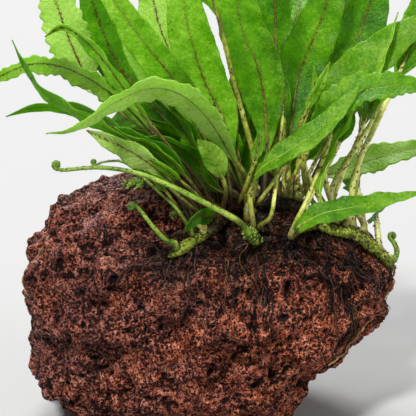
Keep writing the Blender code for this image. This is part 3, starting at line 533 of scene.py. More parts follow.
def directions(path):
    """The unit direction of travel at each place of a path."""
    heading = np.gradient(path, axis=0)
    return heading / np.linalg.norm(heading, axis=1)[:, None]


def path_shares(path):
    """How far along the path each of its places is, from 0 to 1."""
    lengths = np.linalg.norm(np.diff(path, axis=0), axis=1)
    along = np.concatenate([[0.0], np.cumsum(lengths)])
    return along / along[-1]


def path_length(path):
    return float(np.linalg.norm(np.diff(path, axis=0), axis=1).sum())


def unit(vector):
    return vector / np.linalg.norm(vector)


def loft_faces(rings, sides):
    """Faces of a closed body with this many rings of corners, capped at both ends."""
    faces = [tuple(range(sides))[::-1]]
    for start in range(0, (rings - 1) * sides, sides):
        for side in range(sides):
            this = start + side
            following = start + (side + 1) % sides
            faces.append((this, following, following + sides, this + sides))
    faces.append(tuple(range((rings - 1) * sides, rings * sides)))
    return faces


def round_frames(path):
    """Two directions square to the path at each of its places, which don't twist along it."""
    heading = directions(path)
    side_way = unit(np.cross(heading[0], (0.3, 0.2, 1.0)))
    frames = []
    for direction in heading:
        side_way = unit(side_way - direction * np.dot(side_way, direction))
        frames.append((side_way, np.cross(direction, side_way)))
    return frames


def tube(path, radii, sides):
    """Corners of a round stem along the path."""
    corners = []
    for place, (side_way, up_way), radius in zip(path, round_frames(path), radii):
        for side in range(sides):
            angle = 2 * math.pi * side / sides
            corners.append(place + radius * (math.cos(angle) * side_way + math.sin(angle) * up_way))
    return corners


def rhizome_path(name, count=RHIZOME_STATIONS):
    return smooth_path([seen(*place) for place in RHIZOMES[name]], count)


def rhizome_radii(count=RHIZOME_STATIONS):
    """A knobbly stem with rounded ends."""
    shares = np.linspace(0, 1, count)
    ends = np.sqrt(1 - np.abs(2 * shares - 1) ** 5)
    knobs = 1 + RHIZOME_KNOB * np.cos(shares * RHIZOME_KNOBS * math.pi)
    return RHIZOME_RADIUS * knobs * np.maximum(ends, RHIZOME_END)


def growing_point(rhizome, place, towards):
    """Where a stem leaves the rhizome's surface on its way to the given point."""
    path = rhizome_path(rhizome, GROWING_PLACES)
    last = GROWING_PLACES - 1
    index = min(int(place * last), last - 1)
    centre = path[index]
    along = unit(path[index + 1] - path[index])
    way = unit(towards - centre)
    outward = unit(way - along * np.dot(way, along))
    radius = np.interp(place, np.linspace(0, 1, RHIZOME_STATIONS), rhizome_radii())
    return centre + outward * (radius + GAP), outward


def stem_path(spec, sway, belly, count):
    """The stem's places, with its middle and its tip moved nearer or further."""
    last = len(spec.path)
    places = []
    for number, (across, down, depth) in enumerate(spec.path, start=1):
        share = number / last
        shift = sway * share + belly * math.sin(math.pi * share)
        places.append(seen(across, down, depth + shift))
    start, outward = growing_point(spec.rhizome, spec.place, places[0])
    rest = smooth_path([start + outward * COLLAR, *places], count - 1, STATION_CROWDING)
    return np.vstack([start, rest])


def blade_width(share):
    """Lance-shaped, drawn out at its base: the half width at this share of the blade."""
    inside = np.clip(share, 0.0, 1.0)
    base = np.minimum(inside / BLADE_BASE, 1.0) ** 0.3
    return np.clip(np.sin(math.pi * inside ** 0.85), 0, None) ** 0.85 * base


def blade_frames(spec, path):
    """The way across and the way out of the blade's face at each place of the midrib."""
    view = VIEWS[spec.faces]
    first, last = spec.turns
    frames = []
    for direction, share in zip(directions(path), path_shares(path)):
        level = unit(np.cross(direction, view))
        facing = np.cross(level, direction)
        into_blade = max((share - spec.blade_from) / (1 - spec.blade_from), 0)
        turn = math.radians(first + (last - first) * into_blade)
        across = math.cos(turn) * level + math.sin(turn) * facing
        frames.append((across, np.cross(direction, across)))
    return frames


def frond_corners(spec, path, extra=0.0):
    """Six corners for each place: a round stalk that widens into a thin blade."""
    corners = []
    last = len(path) - 1
    widest = spec.width * MM / 2
    shares = path_shares(path)
    for number, (across, out) in enumerate(blade_frames(spec, path)):
        into_blade = (shares[number] - spec.blade_from) / (1 - spec.blade_from)
        full = PETIOLE_RADIUS * SLIMNESS[spec.rhizome]
        stalk = full * (PETIOLE_FOOT - PETIOLE_TAPER * shares[number])
        half = max(stalk, widest * blade_width(into_blade))
        if number == last:
            half = TIP_HALF_WIDTH
        flatness = min(max(into_blade * 5, 0), 1)
        thick = full * (1 - flatness) + BLADE_HALF_THICKNESS * flatness
        inner = 0.5 - 0.1 * flatness
        half += extra
        thick += extra
        outline = ((1, 0), (inner, 1), (-inner, 1), (-1, 0), (-inner, -1), (inner, -1))
        for sideways, outward in outline:
            corners.append(path[number] + across * half * sideways + out * thick * outward)
    return corners


def surface(corners, sides):
    """The surface of a closed body with this many corners in each ring."""
    faces = loft_faces(len(corners) // sides, sides)
    return BVHTree.FromPolygons([Vector(corner) for corner in corners], faces)


def shifts(reach):
    """How far to move a stem's tip and its middle, in mm: the smallest moves come first."""
    steps = range(-reach, reach + 1)
    order = sorted((abs(sway) + abs(belly), sway, belly) for sway in steps for belly in steps)
    return [(sway * SWAY_STEP, belly * BELLY_STEP) for _, sway, belly in order]


def settle(spec, standing):
    """Tries the frond where it is seen, then nearer and further, until it is clear."""
    for shift in shifts(SETTLE_REACH):
        path = stem_path(spec, *shift, FROND_STATIONS)
        fat = surface(frond_corners(spec, path, FROND_CLEARANCE), FROND_SIDES)
        if not any(fat.overlap(other) for other in standing):
            standing.append(surface(frond_corners(spec, path), FROND_SIDES))
            return shift
    raise ValueError("no free place for " + spec.name)


def squeeze_in(spec, standing):
    """Settles a thin frond, whose foot may crowd its neighbours', where it touches the fewest."""
    fewest = None
    for shift in shifts(THIN_REACH):
        path = stem_path(spec, *shift, FROND_STATIONS)
        corners = frond_corners(spec, path, THIN_CLEARANCE)[CROWDED_STATIONS * FROND_SIDES:]
        fat = surface(corners, FROND_SIDES)
        touched = sum(bool(fat.overlap(other)) for other in standing)
        if fewest is None or touched < fewest:
            fewest, best, best_path = touched, shift, path
        if touched == 0:
            break
    standing.append(surface(frond_corners(spec, best_path), FROND_SIDES))
    return best


def crozier_path(spec, count, tightness=1.0):
    """The stem of a young frond, and how it coils: its heading, the way in and the radius."""
    stem = stem_path(spec, 0, 0, count)
    heading = directions(stem)[-1]
    inward = unit(np.cross(heading, VIEWS["front"])) * math.copysign(1, spec.curl)
    return stem, heading, inward, abs(spec.curl) * MM * tightness


def rough_coil(spec):
    """The young frond with the coil that its solid has."""
    stem, heading, inward, radius = crozier_path(spec, CROZIER_STATIONS)
    centre = stem[-1] + inward * radius
    coil = []
    for step in range(1, COIL_STEPS + 1):
        angle = COIL_TURN * step
        reach = radius * (1 - COIL_TIGHTENING * step)
        coil.append(centre + reach * (math.sin(angle) * heading - math.cos(angle) * inward))
    return np.vstack([stem, coil])


def standing_stems():
    """The rhizomes, the croziers and the cut stalk, which the fronds keep clear of."""
    standing = [surface(tube(rhizome_path(name), rhizome_radii(), RHIZOME_SIDES), RHIZOME_SIDES)
                for name in RHIZOMES]
    for spec in CROZIERS:
        path = rough_coil(spec)
        radii = spec.radius * MM * (1 - CROZIER_TAPER * np.linspace(0, 1, len(path)))
        standing.append(surface(tube(path, radii, CROZIER_SIDES), CROZIER_SIDES))
    path = stem_path(CUT_STALK, 0, 0, CUT_STALK_STATIONS)
    radii = np.full(len(path), CUT_STALK.radius * MM)
    standing.append(surface(tube(path, radii, CROZIER_SIDES), CROZIER_SIDES))
    return standing


# Working with meshes

def let_go():
    """Leaves edit mode and deselects everything."""
    if bpy.context.mode != "OBJECT":
        bpy.ops.object.mode_set(mode="OBJECT")
    bpy.ops.object.select_all(action="DESELECT")


def take(*objects):
    """Selects only these objects; the first is the active one."""
    let_go()
    for item in objects:
        item.select_set(True)
    bpy.context.view_layer.objects.active = objects[0]


def rename(item, name):
    item.name = name
    item.data.name = name
    return item


def copied(blank, name):
    made = blank.copy()
    made.data = blank.data.copy()
    bpy.context.collection.objects.link(made)
    return rename(made, name)


def joined(parts, name):
    if len(parts) > 1:
        take(*parts)
        bpy.ops.object.join()
    return rename(parts[0], name)


def apply_modifiers(item):
    take(item)
    for modifier in list(item.modifiers):
        bpy.ops.object.modifier_apply(modifier=modifier.name)


def corners_of(item, what="co"):
    """The places of a mesh's corners, or their normals."""
    flat = np.empty(len(item.data.vertices) * 3)
    item.data.vertices.foreach_get(what, flat)
    return flat.reshape(-1, 3)


def move_corners(item, corners):
    item.data.vertices.foreach_set("co", np.ascontiguousarray(corners, dtype=float).ravel())
    item.data.update()


def note(item, name, values):
    """Keeps a value for each corner, for the materials to read."""
    data = item.data
    kept = data.attributes.get(name) or data.attributes.new(name, "FLOAT", "POINT")
    full = np.broadcast_to(np.asarray(values, dtype=np.float32), len(data.vertices))
    kept.data.foreach_set("value", np.ascontiguousarray(full))


def faces_of(item):
    return [tuple(face.vertices) for face in item.data.polygons]


def surface_of(item):
    return BVHTree.FromPolygons([corner.co.copy() for corner in item.data.vertices], faces_of(item))


def dress(item, finish):
    item.data.materials.clear()
    item.data.materials.append(finish)
    return item


def finished(item, slot, *nodes):
    """Hands the piece over: it rides on the root and stands for its solids."""
    take(item)
    bpy.ops.object.shade_smooth()
    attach(item, "root")
    if nodes:
        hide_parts(*nodes)
    return item


def flat_blank(name, across_cuts, along_cuts):
    """A flat sheet, the start of every blade."""
    let_go()
    bpy.ops.mesh.primitive_grid_add(x_subdivisions=across_cuts, y_subdivisions=along_cuts, size=2)
    return rename(bpy.context.active_object, name)


def round_blank(name, sides, cuts):
    """A straight rod along Z with rings cut round it, the start of every stalk and root."""
    let_go()
    bpy.ops.mesh.primitive_cylinder_add(vertices=sides, radius=1, depth=2, end_fill_type="TRIFAN")
    rod = rename(bpy.context.active_object, name)
    bpy.ops.object.mode_set(mode="EDIT")
    bpy.ops.mesh.select_all(action="DESELECT")
    shape = bmesh.from_edit_mesh(rod.data)
    for edge in shape.edges:
        ends = [corner.co.z for corner in edge.verts]
        edge.select = abs(ends[0] - ends[1]) > 1
    bmesh.update_edit_mesh(rod.data)
    bpy.ops.mesh.subdivide(number_cuts=cuts)
    bpy.ops.object.mode_set(mode="OBJECT")
    return rod


def scale_blank(name):
    """One small pointed scale: a four-sided cone, flattened and bent towards its tip."""
    let_go()
    bpy.ops.mesh.primitive_cone_add(
        vertices=4, radius1=0.5, radius2=0.12, depth=1, location=(0, 0, 0.5))
    scale = rename(bpy.context.active_object, name)
    bpy.ops.object.mode_set(mode="EDIT")
    bpy.ops.mesh.select_all(action="SELECT")
    bpy.ops.transform.resize(value=(1, 0.35, 1))
    bpy.ops.object.mode_set(mode="OBJECT")
    corners = corners_of(scale)
    corners[:, 2] += 0.5
    corners[:, 1] += 0.35 * corners[:, 2] ** 2
    move_corners(scale, corners)
    return scale


def between(values, shares, wanted):
    """Values at the wanted shares of a path."""
    return np.column_stack([np.interp(wanted, shares, values[:, axis]) for axis in range(3)])


class Spine:
    """A path with two directions square to it, which can be read at any share of its length."""

    def __init__(self, path, frames=None):
        frames = frames or round_frames(path)
        self.path = path
        self.shares = path_shares(path)
        self.length = path_length(path)
        self.across = np.array([pair[0] for pair in frames])
        self.out = np.array([pair[1] for pair in frames])

    def centre(self, share):
        return between(self.path, self.shares, share)

    def place(self, share, sideways, outward):
        """Points this far to the side of the path and out from it."""
        across = between(self.across, self.shares, share)
        out = between(self.out, self.shares, share)
        across /= np.linalg.norm(across, axis=1)[:, None]
        out /= np.linalg.norm(out, axis=1)[:, None]
        return self.centre(share) + across * sideways[:, None] + out * outward[:, None]

    def around(self, share, angle, radius):
        """Points round the path, at this angle and this far from it."""
        return self.place(share, radius * np.cos(angle), radius * np.sin(angle))


def rod_places(rod):
    """Where the corners of a straight rod are: the share of its length, the angle, the reach."""
    corners = corners_of(rod)
    angle = np.arctan2(corners[:, 1], corners[:, 0])
    return (corners[:, 2] + 1) / 2, angle, np.hypot(corners[:, 0], corners[:, 1])


def bend_rod(rod, spine, radius_at):
    """Bends a straight rod along the spine; radius_at gives the radius at a share and an angle."""
    share, angle, reach = rod_places(rod)
    move_corners(rod, spine.around(share, angle, radius_at(share, angle) * reach))
    return rod


def repeated(name, blank, corner_sets):
    """One mesh with a copy of the blank for each set of corners."""
    size = len(blank.data.vertices)
    faces = [tuple(number * size + corner for corner in face)
             for number in range(len(corner_sets)) for face in faces_of(blank)]
    mesh = bpy.data.meshes.new(name)
    mesh.from_pydata(np.concatenate(corner_sets).tolist(), [], faces)
    made = bpy.data.objects.new(name, mesh)
    bpy.context.collection.objects.link(made)
    return made


def scattered(name, blank, finish, places):
    """Copies of a small blank, one for each matrix, in one mesh with this finish."""
    base = np.column_stack([corners_of(blank), np.ones(len(blank.data.vertices))])
    corner_sets = [(base @ np.array(place).T)[:, :3] for place in places]
    return dress(repeated(name, blank, corner_sets), finish)


def strands(name, blank, paths, radii):
    """Thin roots along many paths, in one mesh: the blank rod is bent along each."""
    share, angle, reach = rod_places(blank)
    corner_sets = []
    for path, radius in zip(paths, radii):
        thin = radius * reach * (1 - STRAND_TAPER * share)
        corner_sets.append(Spine(path).around(share, angle, thin))
    return repeated(name, blank, corner_sets)


def stance(place, along, out, width, thickness, length):
    """A matrix that stands a blank at the place: its Z along, its Y out."""
    along = unit(along)
    out = unit(out - along * np.dot(out, along))
    across = np.cross(out, along)
    matrix = np.eye(4)
    matrix[:3, 0] = across * width
    matrix[:3, 1] = out * thickness
    matrix[:3, 2] = along * length
    matrix[:3, 3] = place
    return matrix


# Materials

class Value:
    """What a node gives: numbers, colours or places, from which others are worked out."""

    def __init__(self, recipe, socket):
        self.recipe = recipe
        self.socket = socket

    def worked(self, operation, *others):
        return self.recipe.node("Math", dict(enumerate((self, *others))), operation=operation)

    def __add__(self, other):
        return self.worked("ADD", other)

    def __sub__(self, other):
        return self.worked("SUBTRACT", other)

    def __rsub__(self, other):
        return self.recipe.node("Math", {0: other, 1: self}, operation="SUBTRACT")

    def __mul__(self, other):
        return self.worked("MULTIPLY", other)

    def __truediv__(self, other):
        return self.worked("DIVIDE", other)

    def __abs__(self):
        return self.worked("ABSOLUTE")

    def most(self, other):
        return self.worked("MAXIMUM", other)


class Recipe:
    """A material built from nodes, with short names for the nodes that are used most."""

    def __init__(self, name):
        self.made = bpy.data.materials.new(name)
        self.made.use_nodes = True
        self.tree = self.made.node_tree
        self.shader = self.tree.nodes["Principled BSDF"]
        self.place = self.node("TexCoord", output="Object")

    def put(self, value, socket):
        if isinstance(value, Value):
            self.tree.links.new(value.socket, socket)
        elif socket.type == "RGBA":
            socket.default_value = (*value, 1)
        else:
            socket.default_value = value

    def node(self, kind, inputs=None, output=0, **settings):
        made = self.tree.nodes.new("ShaderNode" + kind)
        for name, value in settings.items():
            setattr(made, name, value)
        for name, value in (inputs or {}).items():
            self.put(value, made.inputs[name])
        return Value(self, made.outputs[output])

    def noted(self, name):
        """What was noted at the piece's corners under this name."""
        return self.node("Attribute", output="Fac", attribute_name=name)

    def noise(self, size, detail=3.0, roughness=0.6):
        """Noise whose features are this many metres across."""
        return self.node("TexNoise", {"Vector": self.place, "Scale": 1 / size, "Detail": detail,
                                      "Roughness": roughness})

    def cells(self, place, size):
        """Distances from the middles of cells this far across."""
        return self.node("TexVoronoi", {"Vector": place, "Scale": 1 / size})

    def vectors(self, operation, first, second):
        return self.node("VectorMath", {0: first, 1: second}, operation=operation)

    def spread(self, value, *limits):
        """The value with its first two limits brought to the last two, or to 0 and 1."""
        return self.node("MapRange", {"Value": value, **dict(enumerate(limits, start=1))})

    def ramp(self, value, *stops):
        """Colours, or greys, at places from 0 to 1."""
        made = self.node("ValToRGB", {"Fac": value})
        elements = made.socket.node.color_ramp.elements
        while len(elements) < len(stops):
            elements.new(0.5)
        for element, (position, colour) in zip(elements, stops, strict=True):
            shades = colour if isinstance(colour, tuple) else (colour, colour, colour)
            element.position = position
            element.color = (*shades, 1)
        return made

    def mix(self, share, first, second):
        return self.node("Mix", {0: share, 6: first, 7: second}, output=2, data_type="RGBA")

    def layered(self, colour, *layers):
        """The colour under layers: how much of each layer shows, and its own colour."""
        for share, layer in layers:
            colour = self.mix(share, colour, layer)
        return colour

    def bump(self, height, distance, strength):
        return self.node("Bump", {"Height": height, "Distance": distance, "Strength": strength})

    def finish(self, colour, roughness, relief, specular=0.5, ior=1.5):
        values = {"Base Color": colour, "Roughness": roughness, "Normal": relief,
                  "Specular IOR Level": specular, "IOR": ior}
        for name, value in values.items():
            self.put(value, self.shader.inputs[name])
        return self.made


def rock_finish():
    """Wet red-brown lava, pitted all over with small pores that are painted near-black as shade,
    and painted darker where the fern shades it.
    """
    r = Recipe("porous lava")
    hollow = r.noted("hollow")
    shade = r.noted("shade")
    stir = r.node("TexNoise", {"Vector": r.place, "Scale": 1 / (1.4 * MM), "Detail": 2.0}, "Color")
    stirred = r.vectors("SUBTRACT", stir, (0.5, 0.5, 0.5))
    shift = r.node("VectorMath", {0: stirred, "Scale": 1.1 * MM}, operation="SCALE")
    warped = r.vectors("ADD", r.place, shift)
    patches = r.noise(5 * MM, 5, 0.7)
    specks = r.noise(0.60 * MM, 2, 0.8)
    coarse = r.spread(r.noise(8 * MM, 3), 0.38, 0.62, -0.06, 0.10)

    def pores(size, dark, pale):
        return r.ramp(r.cells(warped, size) - coarse, (dark, 1.0), (pale, 0.0))

    tiny_pits = pores(0.95 * MM, 0.33, 0.41)
    pitted = pores(2.7 * MM, 0.15, 0.23).most(pores(1.45 * MM, 0.29, 0.34)).most(tiny_pits * 0.92)
    # The pale end of these ramps, where the fine specks rise, is partly the stone's own grain and
    # partly painted wet highlights
    tone = patches * 0.45 + specks * 0.55
    brown = r.ramp(tone, (0.39, (0.008, 0.003, 0.002)), (0.45, (0.066, 0.018, 0.013)),
                   (0.52, (0.160, 0.047, 0.036)), (0.63, (0.400, 0.170, 0.132)))
    red = r.ramp(tone, (0.39, (0.022, 0.005, 0.002)), (0.45, (0.150, 0.026, 0.009)),
                 (0.52, (0.340, 0.081, 0.036)), (0.63, (0.730, 0.290, 0.165)))
    rightward = r.spread(r.node("SeparateXYZ", {"Vector": r.place}, "X"), -40 * MM, 45 * MM)
    lower = r.spread(r.node("SeparateXYZ", {"Vector": r.place}, "Z"), 90 * MM, 30 * MM)
    rusty = r.ramp(r.noise(11 * MM, 3), (0.46, 0.0), (0.60, 1.0))
    redness = (rightward * lower + 0.15) * (r.noise(22 * MM, 4) * 1.6) + rusty * 0.45
    film = r.ramp(shade, (0.15, 0.0), (0.40, 1.0)) * r.ramp(patches, (0.45, 0.0), (0.60, 0.45))
    uneven = (patches - 0.5) + (specks - 0.5)
    shaded = r.ramp(shade + uneven * 1.1, (0.35, 0.0), (0.85, 0.88))
    # Painted shade: the rock darkens by the stems and under the fern, and the pores of the pattern
    # and the carved hollows are painted near-black
    colour = r.layered(
        r.mix(redness, brown, red), (film, (0.060, 0.052, 0.014)), (shaded, (0.010, 0.005, 0.003)),
        (pitted * 0.95, PORE_SHADE), (r.ramp(hollow, (0.20, 0.0), (0.70, 0.94)), PORE_SHADE))
    wet = r.ramp(r.noise(1.6 * MM, 3), (0.40, 0.20), (0.60, 0.60))
    gloss = wet.most((pitted * 0.9).most(hollow))
    relief = r.bump((1.0 - pitted) + specks * 0.6, 0.8 * MM, 1.0)
    return r.finish(colour, gloss, relief, specular=0.20, ior=1.40)


def blade_finish():
    """A thin green blade: a net of veins, a speckled brown rib, and light that shines through."""
    r = Recipe("frond blade")
    side = r.noted("side")
    along = r.noted("along")
    beside = abs(side)
    mottle = r.noise(4 * MM, 5, 0.65)
    fine = r.noise(1.1 * MM, 3, 0.7)
    wander = (r.noise(3.5 * MM, 3) - 0.5) * 3.5
    vein_place = ((along + wander) - beside * VEIN_LEAN) / (VEIN_SPACING / MM)
    vein = r.ramp(vein_place.worked("PINGPONG", 0.5), (0.0, 1.0), (0.18, 0.0))
    flat_place = r.node("CombineXYZ", {"X": side, "Y": along, "Z": 0.0})
    stir = r.node("TexNoise", {"Vector": flat_place, "Scale": 0.5, "Detail": 2.0}, "Color")
    stirred = r.vectors("ADD", flat_place, stir)
    to_net = r.node("TexVoronoi", {"Vector": stirred, "Scale": 0.62}, feature="DISTANCE_TO_EDGE")
    net = r.ramp(to_net, (0.02, 1.0), (0.16, 0.0))
    stretched = r.vectors("MULTIPLY", flat_place, (1.1, 0.16, 1))
    streaks = r.node("TexNoise", {"Vector": stretched, "Detail": 3.0})
    # The noted lightness holds painted light: shade on fronds deep in the clump, and light shining
    # through on others
    tone = r.noted("light") * 0.75 + mottle * 0.80
    for pattern, share in ((r.noise(16 * MM, 2), 0.9), (fine, 0.80), (streaks, 0.85)):
        tone = tone + (pattern - 0.5) * share
    green = r.ramp((tone - 0.22) * 0.75,
                   (0.08, (0.012, 0.060, 0.002)), (0.32, (0.050, 0.190, 0.004)),
                   (0.56, (0.165, 0.370, 0.012)), (0.80, (0.380, 0.600, 0.060)),
                   (1.0, (0.570, 0.740, 0.200)))
    near_rib = r.ramp(beside, (0.30, 1.0), (0.80, 0.0))
    specks = r.ramp(r.noise(0.9 * MM, 2, 0.7), (0.50, 0.0), (0.56, 1.0))
    spots = r.ramp(r.cells(stirred, 2.2), (0.10, 1.0), (0.17, 0.0))
    spotted = spots * r.ramp(r.noise(9 * MM, 2), (0.54, 0.0), (0.62, 0.7))
    brown = (near_rib * specks * r.noted("brown")).most(spotted)
    colour = r.layered(
        green, (r.ramp(r.noted("edge"), (0.90, 0.0), (1.0, 0.22)), (0.30, 0.48, 0.04)),
        (vein * (mottle * 0.26), (0.022, 0.095, 0.004)), (net * 0.15, (0.030, 0.120, 0.006)),
        (brown * 0.80, (0.100, 0.038, 0.009)))
    relief = r.bump((mottle * 0.9 - net * 0.25) + fine * 0.3 - vein * 0.22, 0.30 * MM, 0.8)
    glow = r.layered(colour, (0.60, (0.46, 0.86, 0.02)), (brown * 0.85, (0.12, 0.06, 0.01)))
    through = r.node("BsdfTranslucent", {"Color": glow, "Normal": relief})
    r.finish(colour, r.ramp(mottle, (0.3, 0.34), (0.7, 0.50)), relief, specular=0.26, ior=1.42)
    both = r.node("MixShader", {0: LIGHT_THROUGH, 1: Value(r, r.shader.outputs[0]), 2: through})
    r.put(both, r.tree.nodes["Material Output"].inputs["Surface"])
    return r.made


def stalk_finish(name, dark, middle, pale):
    """Round green stalks, browner at the foot, that turn into speckled brown ribs."""
    r = Recipe(name)
    streaks = r.noise(1.4 * MM, 4)
    tone = r.noise(9 * MM, 2) * 0.6 + streaks * 0.4 + r.noted("light")
    green = r.ramp(tone, (0.38, dark), (0.50, middle), (0.64, pale))
    brown = r.ramp(r.noise(1.8 * MM, 3, 0.7),
                   (0.40, (0.170, 0.200, 0.018)), (0.52, (0.125, 0.052, 0.012)))
    rib = r.mix(r.noted("brown"), (0.170, 0.300, 0.018), brown)
    foot = r.ramp(r.noted("foot") + (streaks - 0.5) * 0.9, (0.06, 0.0), (0.60, 0.95))
    patchy = r.ramp(r.noise(7 * MM, 2), (0.46, 0.12), (0.60, 1.0))
    blotches = r.ramp(r.noise(2.4 * MM, 4, 0.7), (0.54, 0.0), (0.59, 0.85))
    specks = r.ramp(r.cells(r.place, 1.1 * MM), (0.20, 1.0), (0.31, 0.0))
    colour = r.layered(
        green, (r.noted("rib"), rib), (foot, (0.032, 0.019, 0.006)),
        (blotches * patchy, (0.120, 0.055, 0.013)),
        (specks * (patchy * 0.80), (0.075, 0.028, 0.009)))
    return r.finish(colour, 0.42, r.bump(streaks, 0.3 * MM, 0.6), specular=0.30)


def scale_finish():
    """Dark brown, papery scales."""
    r = Recipe("brown scales")
    streaks = r.noise(0.9 * MM, 3)
    colour = r.ramp(streaks, (0.3, (0.020, 0.009, 0.005)), (0.6, (0.070, 0.030, 0.014)),
                    (0.8, (0.16, 0.085, 0.035)))
    return r.finish(colour, 0.6, r.bump(streaks, 0.2 * MM, 0.5))


def rhizome_finish():
    """A green creeping stem with brown patches."""
    r = Recipe("creeping stem")
    patches = r.noise(3.2 * MM, 4)
    tone = patches * 0.65 + r.noise(0.9 * MM, 3) * 0.35
    green = r.ramp(tone, (0.38, (0.040, 0.030, 0.006)), (0.45, (0.120, 0.165, 0.010)),
                   (0.54, (0.260, 0.330, 0.022)), (0.66, (0.560, 0.620, 0.150)))
    dark = r.ramp(r.noted("dark") + (patches - 0.5) * 0.9, (0.20, 0.0), (0.60, 0.97))
    colour = r.mix(dark, green, (0.014, 0.008, 0.004))
    return r.finish(colour, 0.55, r.bump(tone, 0.8 * MM, 1.0), specular=0.16)


def root_finish():
    """Fine dark roots, some of them amber."""
    r = Recipe("fine roots")
    streaks = r.noise(1.5 * MM, 4)
    age = r.noted("brown") + (streaks - 0.5) * 0.5
    dark = r.ramp(age, (0.40, (0.002, 0.001, 0.001)), (0.80, (0.014, 0.006, 0.004)),
                  (1.0, (0.120, 0.060, 0.040)))
    warm = r.ramp(streaks, (0.3, (0.130, 0.050, 0.014)), (0.7, (0.380, 0.190, 0.050)))
    amber = r.mix(r.noted("tip"), warm, (0.70, 0.58, 0.22))
    colour = r.mix(r.noted("amber"), dark, amber)
    return r.finish(colour, 0.32, r.bump(streaks, 0.2 * MM, 0.5), specular=0.18)


def moss_finish():
    """Small bright leaves."""
    r = Recipe("small moss")
    tone = r.noise(1.5 * MM, 3)
    colour = r.ramp(tone, (0.35, (0.090, 0.180, 0.012)), (0.65, (0.400, 0.580, 0.080)))
    return r.finish(colour, 0.6, r.bump(tone, 0.3 * MM, 0.5))


ROCK = rock_finish()
BLADE = blade_finish()
STALK = stalk_finish(
    "frond stalk", (0.120, 0.145, 0.012), (0.350, 0.385, 0.044), (0.660, 0.670, 0.200))
YOUNG = stalk_finish(
    "young stem", (0.045, 0.115, 0.006), (0.140, 0.265, 0.016), (0.350, 0.480, 0.070))
SCALES = scale_finish()
RHIZOME = rhizome_finish()
ROOT = root_finish()
MOSS = moss_finish()


# The rock


def distance_to(points, places, chunk=4000):
    """How far each of many corners is from the nearest of the places."""
    nearest = np.empty(len(points))
    for start in range(0, len(points), chunk):
        part = points[start:start + chunk]
        gaps = part[:, None, :] - places[None, :, :]
        nearest[start:start + chunk] = np.sqrt((gaps ** 2).sum(axis=2).min(axis=1))
    return nearest


def pore_depth(place, size, offset, share, widest):
    """How deep a pore is here: some of the cells of this size hold a round hollow."""
    near, centres = noise.voronoi(place / size + offset)
    chance = 0.5 + 0.5 * noise.cell(centres[0] * 37.1 + offset)
    if chance > share:
        return 0.0
    reach = widest * (0.45 + 0.55 * chance / share)
    inside = 1 - near[0] / reach
    if inside <= 0:
        return 0.0
    return math.sqrt(1 - (1 - inside) ** 2) * reach * size


def plain_copy(node, name):
    """A copy of a solid, with the corners joined that its facets share."""
    let_go()
    made = copied(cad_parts[node], name)
    made.parent = None
    for key in list(made.keys()):
        del made[key]
    take(made)
    bpy.ops.object.mode_set(mode="EDIT")
    bpy.ops.mesh.select_all(action="SELECT")
    bpy.ops.mesh.remove_doubles(threshold=0.01 * MM)
    bpy.ops.object.mode_set(mode="OBJECT")
    return made


def carve(corner):
    """How far the rock's skin moves out here, and how deep in a hollow the place then is."""
    place = Vector(corner)
    warped = place + noise.noise_vector(place / (4 * MM)) * 1.3 * MM
    crag = noise.noise(warped / (4.2 * MM)) * 1.5 * MM + noise.noise(place / (2.1 * MM)) * 0.9 * MM
    pore = max(pore_depth(warped, *kind) * deeper for *kind, deeper in PORES)
    return crag - pore, pore - min(crag, 0) * 0.7


def make_rock():
    """The solid's own shape, with its facets worn off and its skin broken into pores and crags."""
    rock = plain_copy("lava_rock", "lava_rock_porous")
    skin = rock.modifiers.new("skin", "REMESH")
    skin.mode = "VOXEL"
    skin.voxel_size = ROCK_GRAIN
    soften = rock.modifiers.new("soften", "SMOOTH")
    soften.factor = 0.5
    soften.iterations = 6
    apply_modifiers(rock)
    corners = corners_of(rock)
    outward = corners_of(rock, "normal")
    noise.seed_set(SEEDS["rock"])
    moves, hollow = np.array([carve(corner) for corner in corners]).T
    stems = np.vstack([rhizome_path(name, MAT_PLACES) for name in RHIZOMES])
    to_stem = distance_to(corners, stems)
    beside_stem = np.clip((to_stem - RHIZOME_RADIUS) / (4 * MM), 0, 1)
    moves = np.where(moves > 0, moves * beside_stem, moves)
    above_base = np.clip(corners[:, 2] / BASE_HEIGHT, 0, 1)
    outward[:, 2] *= above_base
    moved = corners + outward * (moves * (0.15 + 0.85 * above_base))[:, None]
    moved[:, 2] = np.where(corners[:, 2] < 0.5 * MM, 0, np.maximum(moved[:, 2], 0))
    move_corners(rock, moved)
    # How deep in a hollow each corner lies; the material paints shade there
    note(rock, "hollow", np.clip(hollow / (1.5 * MM), 0, 1))
    from_fern = np.hypot(*((corners[:, :2] - FERN_MIDDLE) / FERN_REACH).T)
    under_fern = np.clip(2.2 - 1.6 * from_fern, 0, 1)
    on_top = np.clip((corners[:, 2] - 72 * MM) / (14 * MM), 0, 1) * under_fern
    reach = np.interp(corners[:, 0], (15 * MM, 45 * MM), (12 * MM, 4 * MM))
    by_stem = np.clip(0.95 - (to_stem - RHIZOME_RADIUS) / reach, 0, 1)
    note(rock, "shade", np.maximum(by_stem, on_top))
    return finished(dress(rock, ROCK), "lava_rock", "lava_rock")


# The creeping stems and what grows from them

def draws(kind, number=0):
    """The random numbers of one piece."""
    return np.random.default_rng(SEEDS[kind] + number)


def knobbly(radii, rng):
    """The rhizome's radius at a share and an angle, with swellings and dents."""
    shares = np.linspace(0, 1, len(radii))
    bumps = [(rng.uniform(0, 1), rng.uniform(-math.pi, math.pi), rng.uniform(0.04, 0.16))
             for _ in range(RHIZOME_BUMPS)]

    def radius_at(share, angle):
        swelling = np.ones(len(share))
        for middle, way, height in bumps:
            apart = np.abs(np.angle(np.exp(1j * (angle - way))))
            swelling += height * np.exp(-((share - middle) / 0.05) ** 2 - (apart / 0.7) ** 2)
        ends = np.sqrt(np.clip(1 - np.abs(2 * share - 1) ** 14, 0, 1))
        return np.interp(share, shares, radii) * swelling * np.maximum(ends, 0.3)
    return radius_at


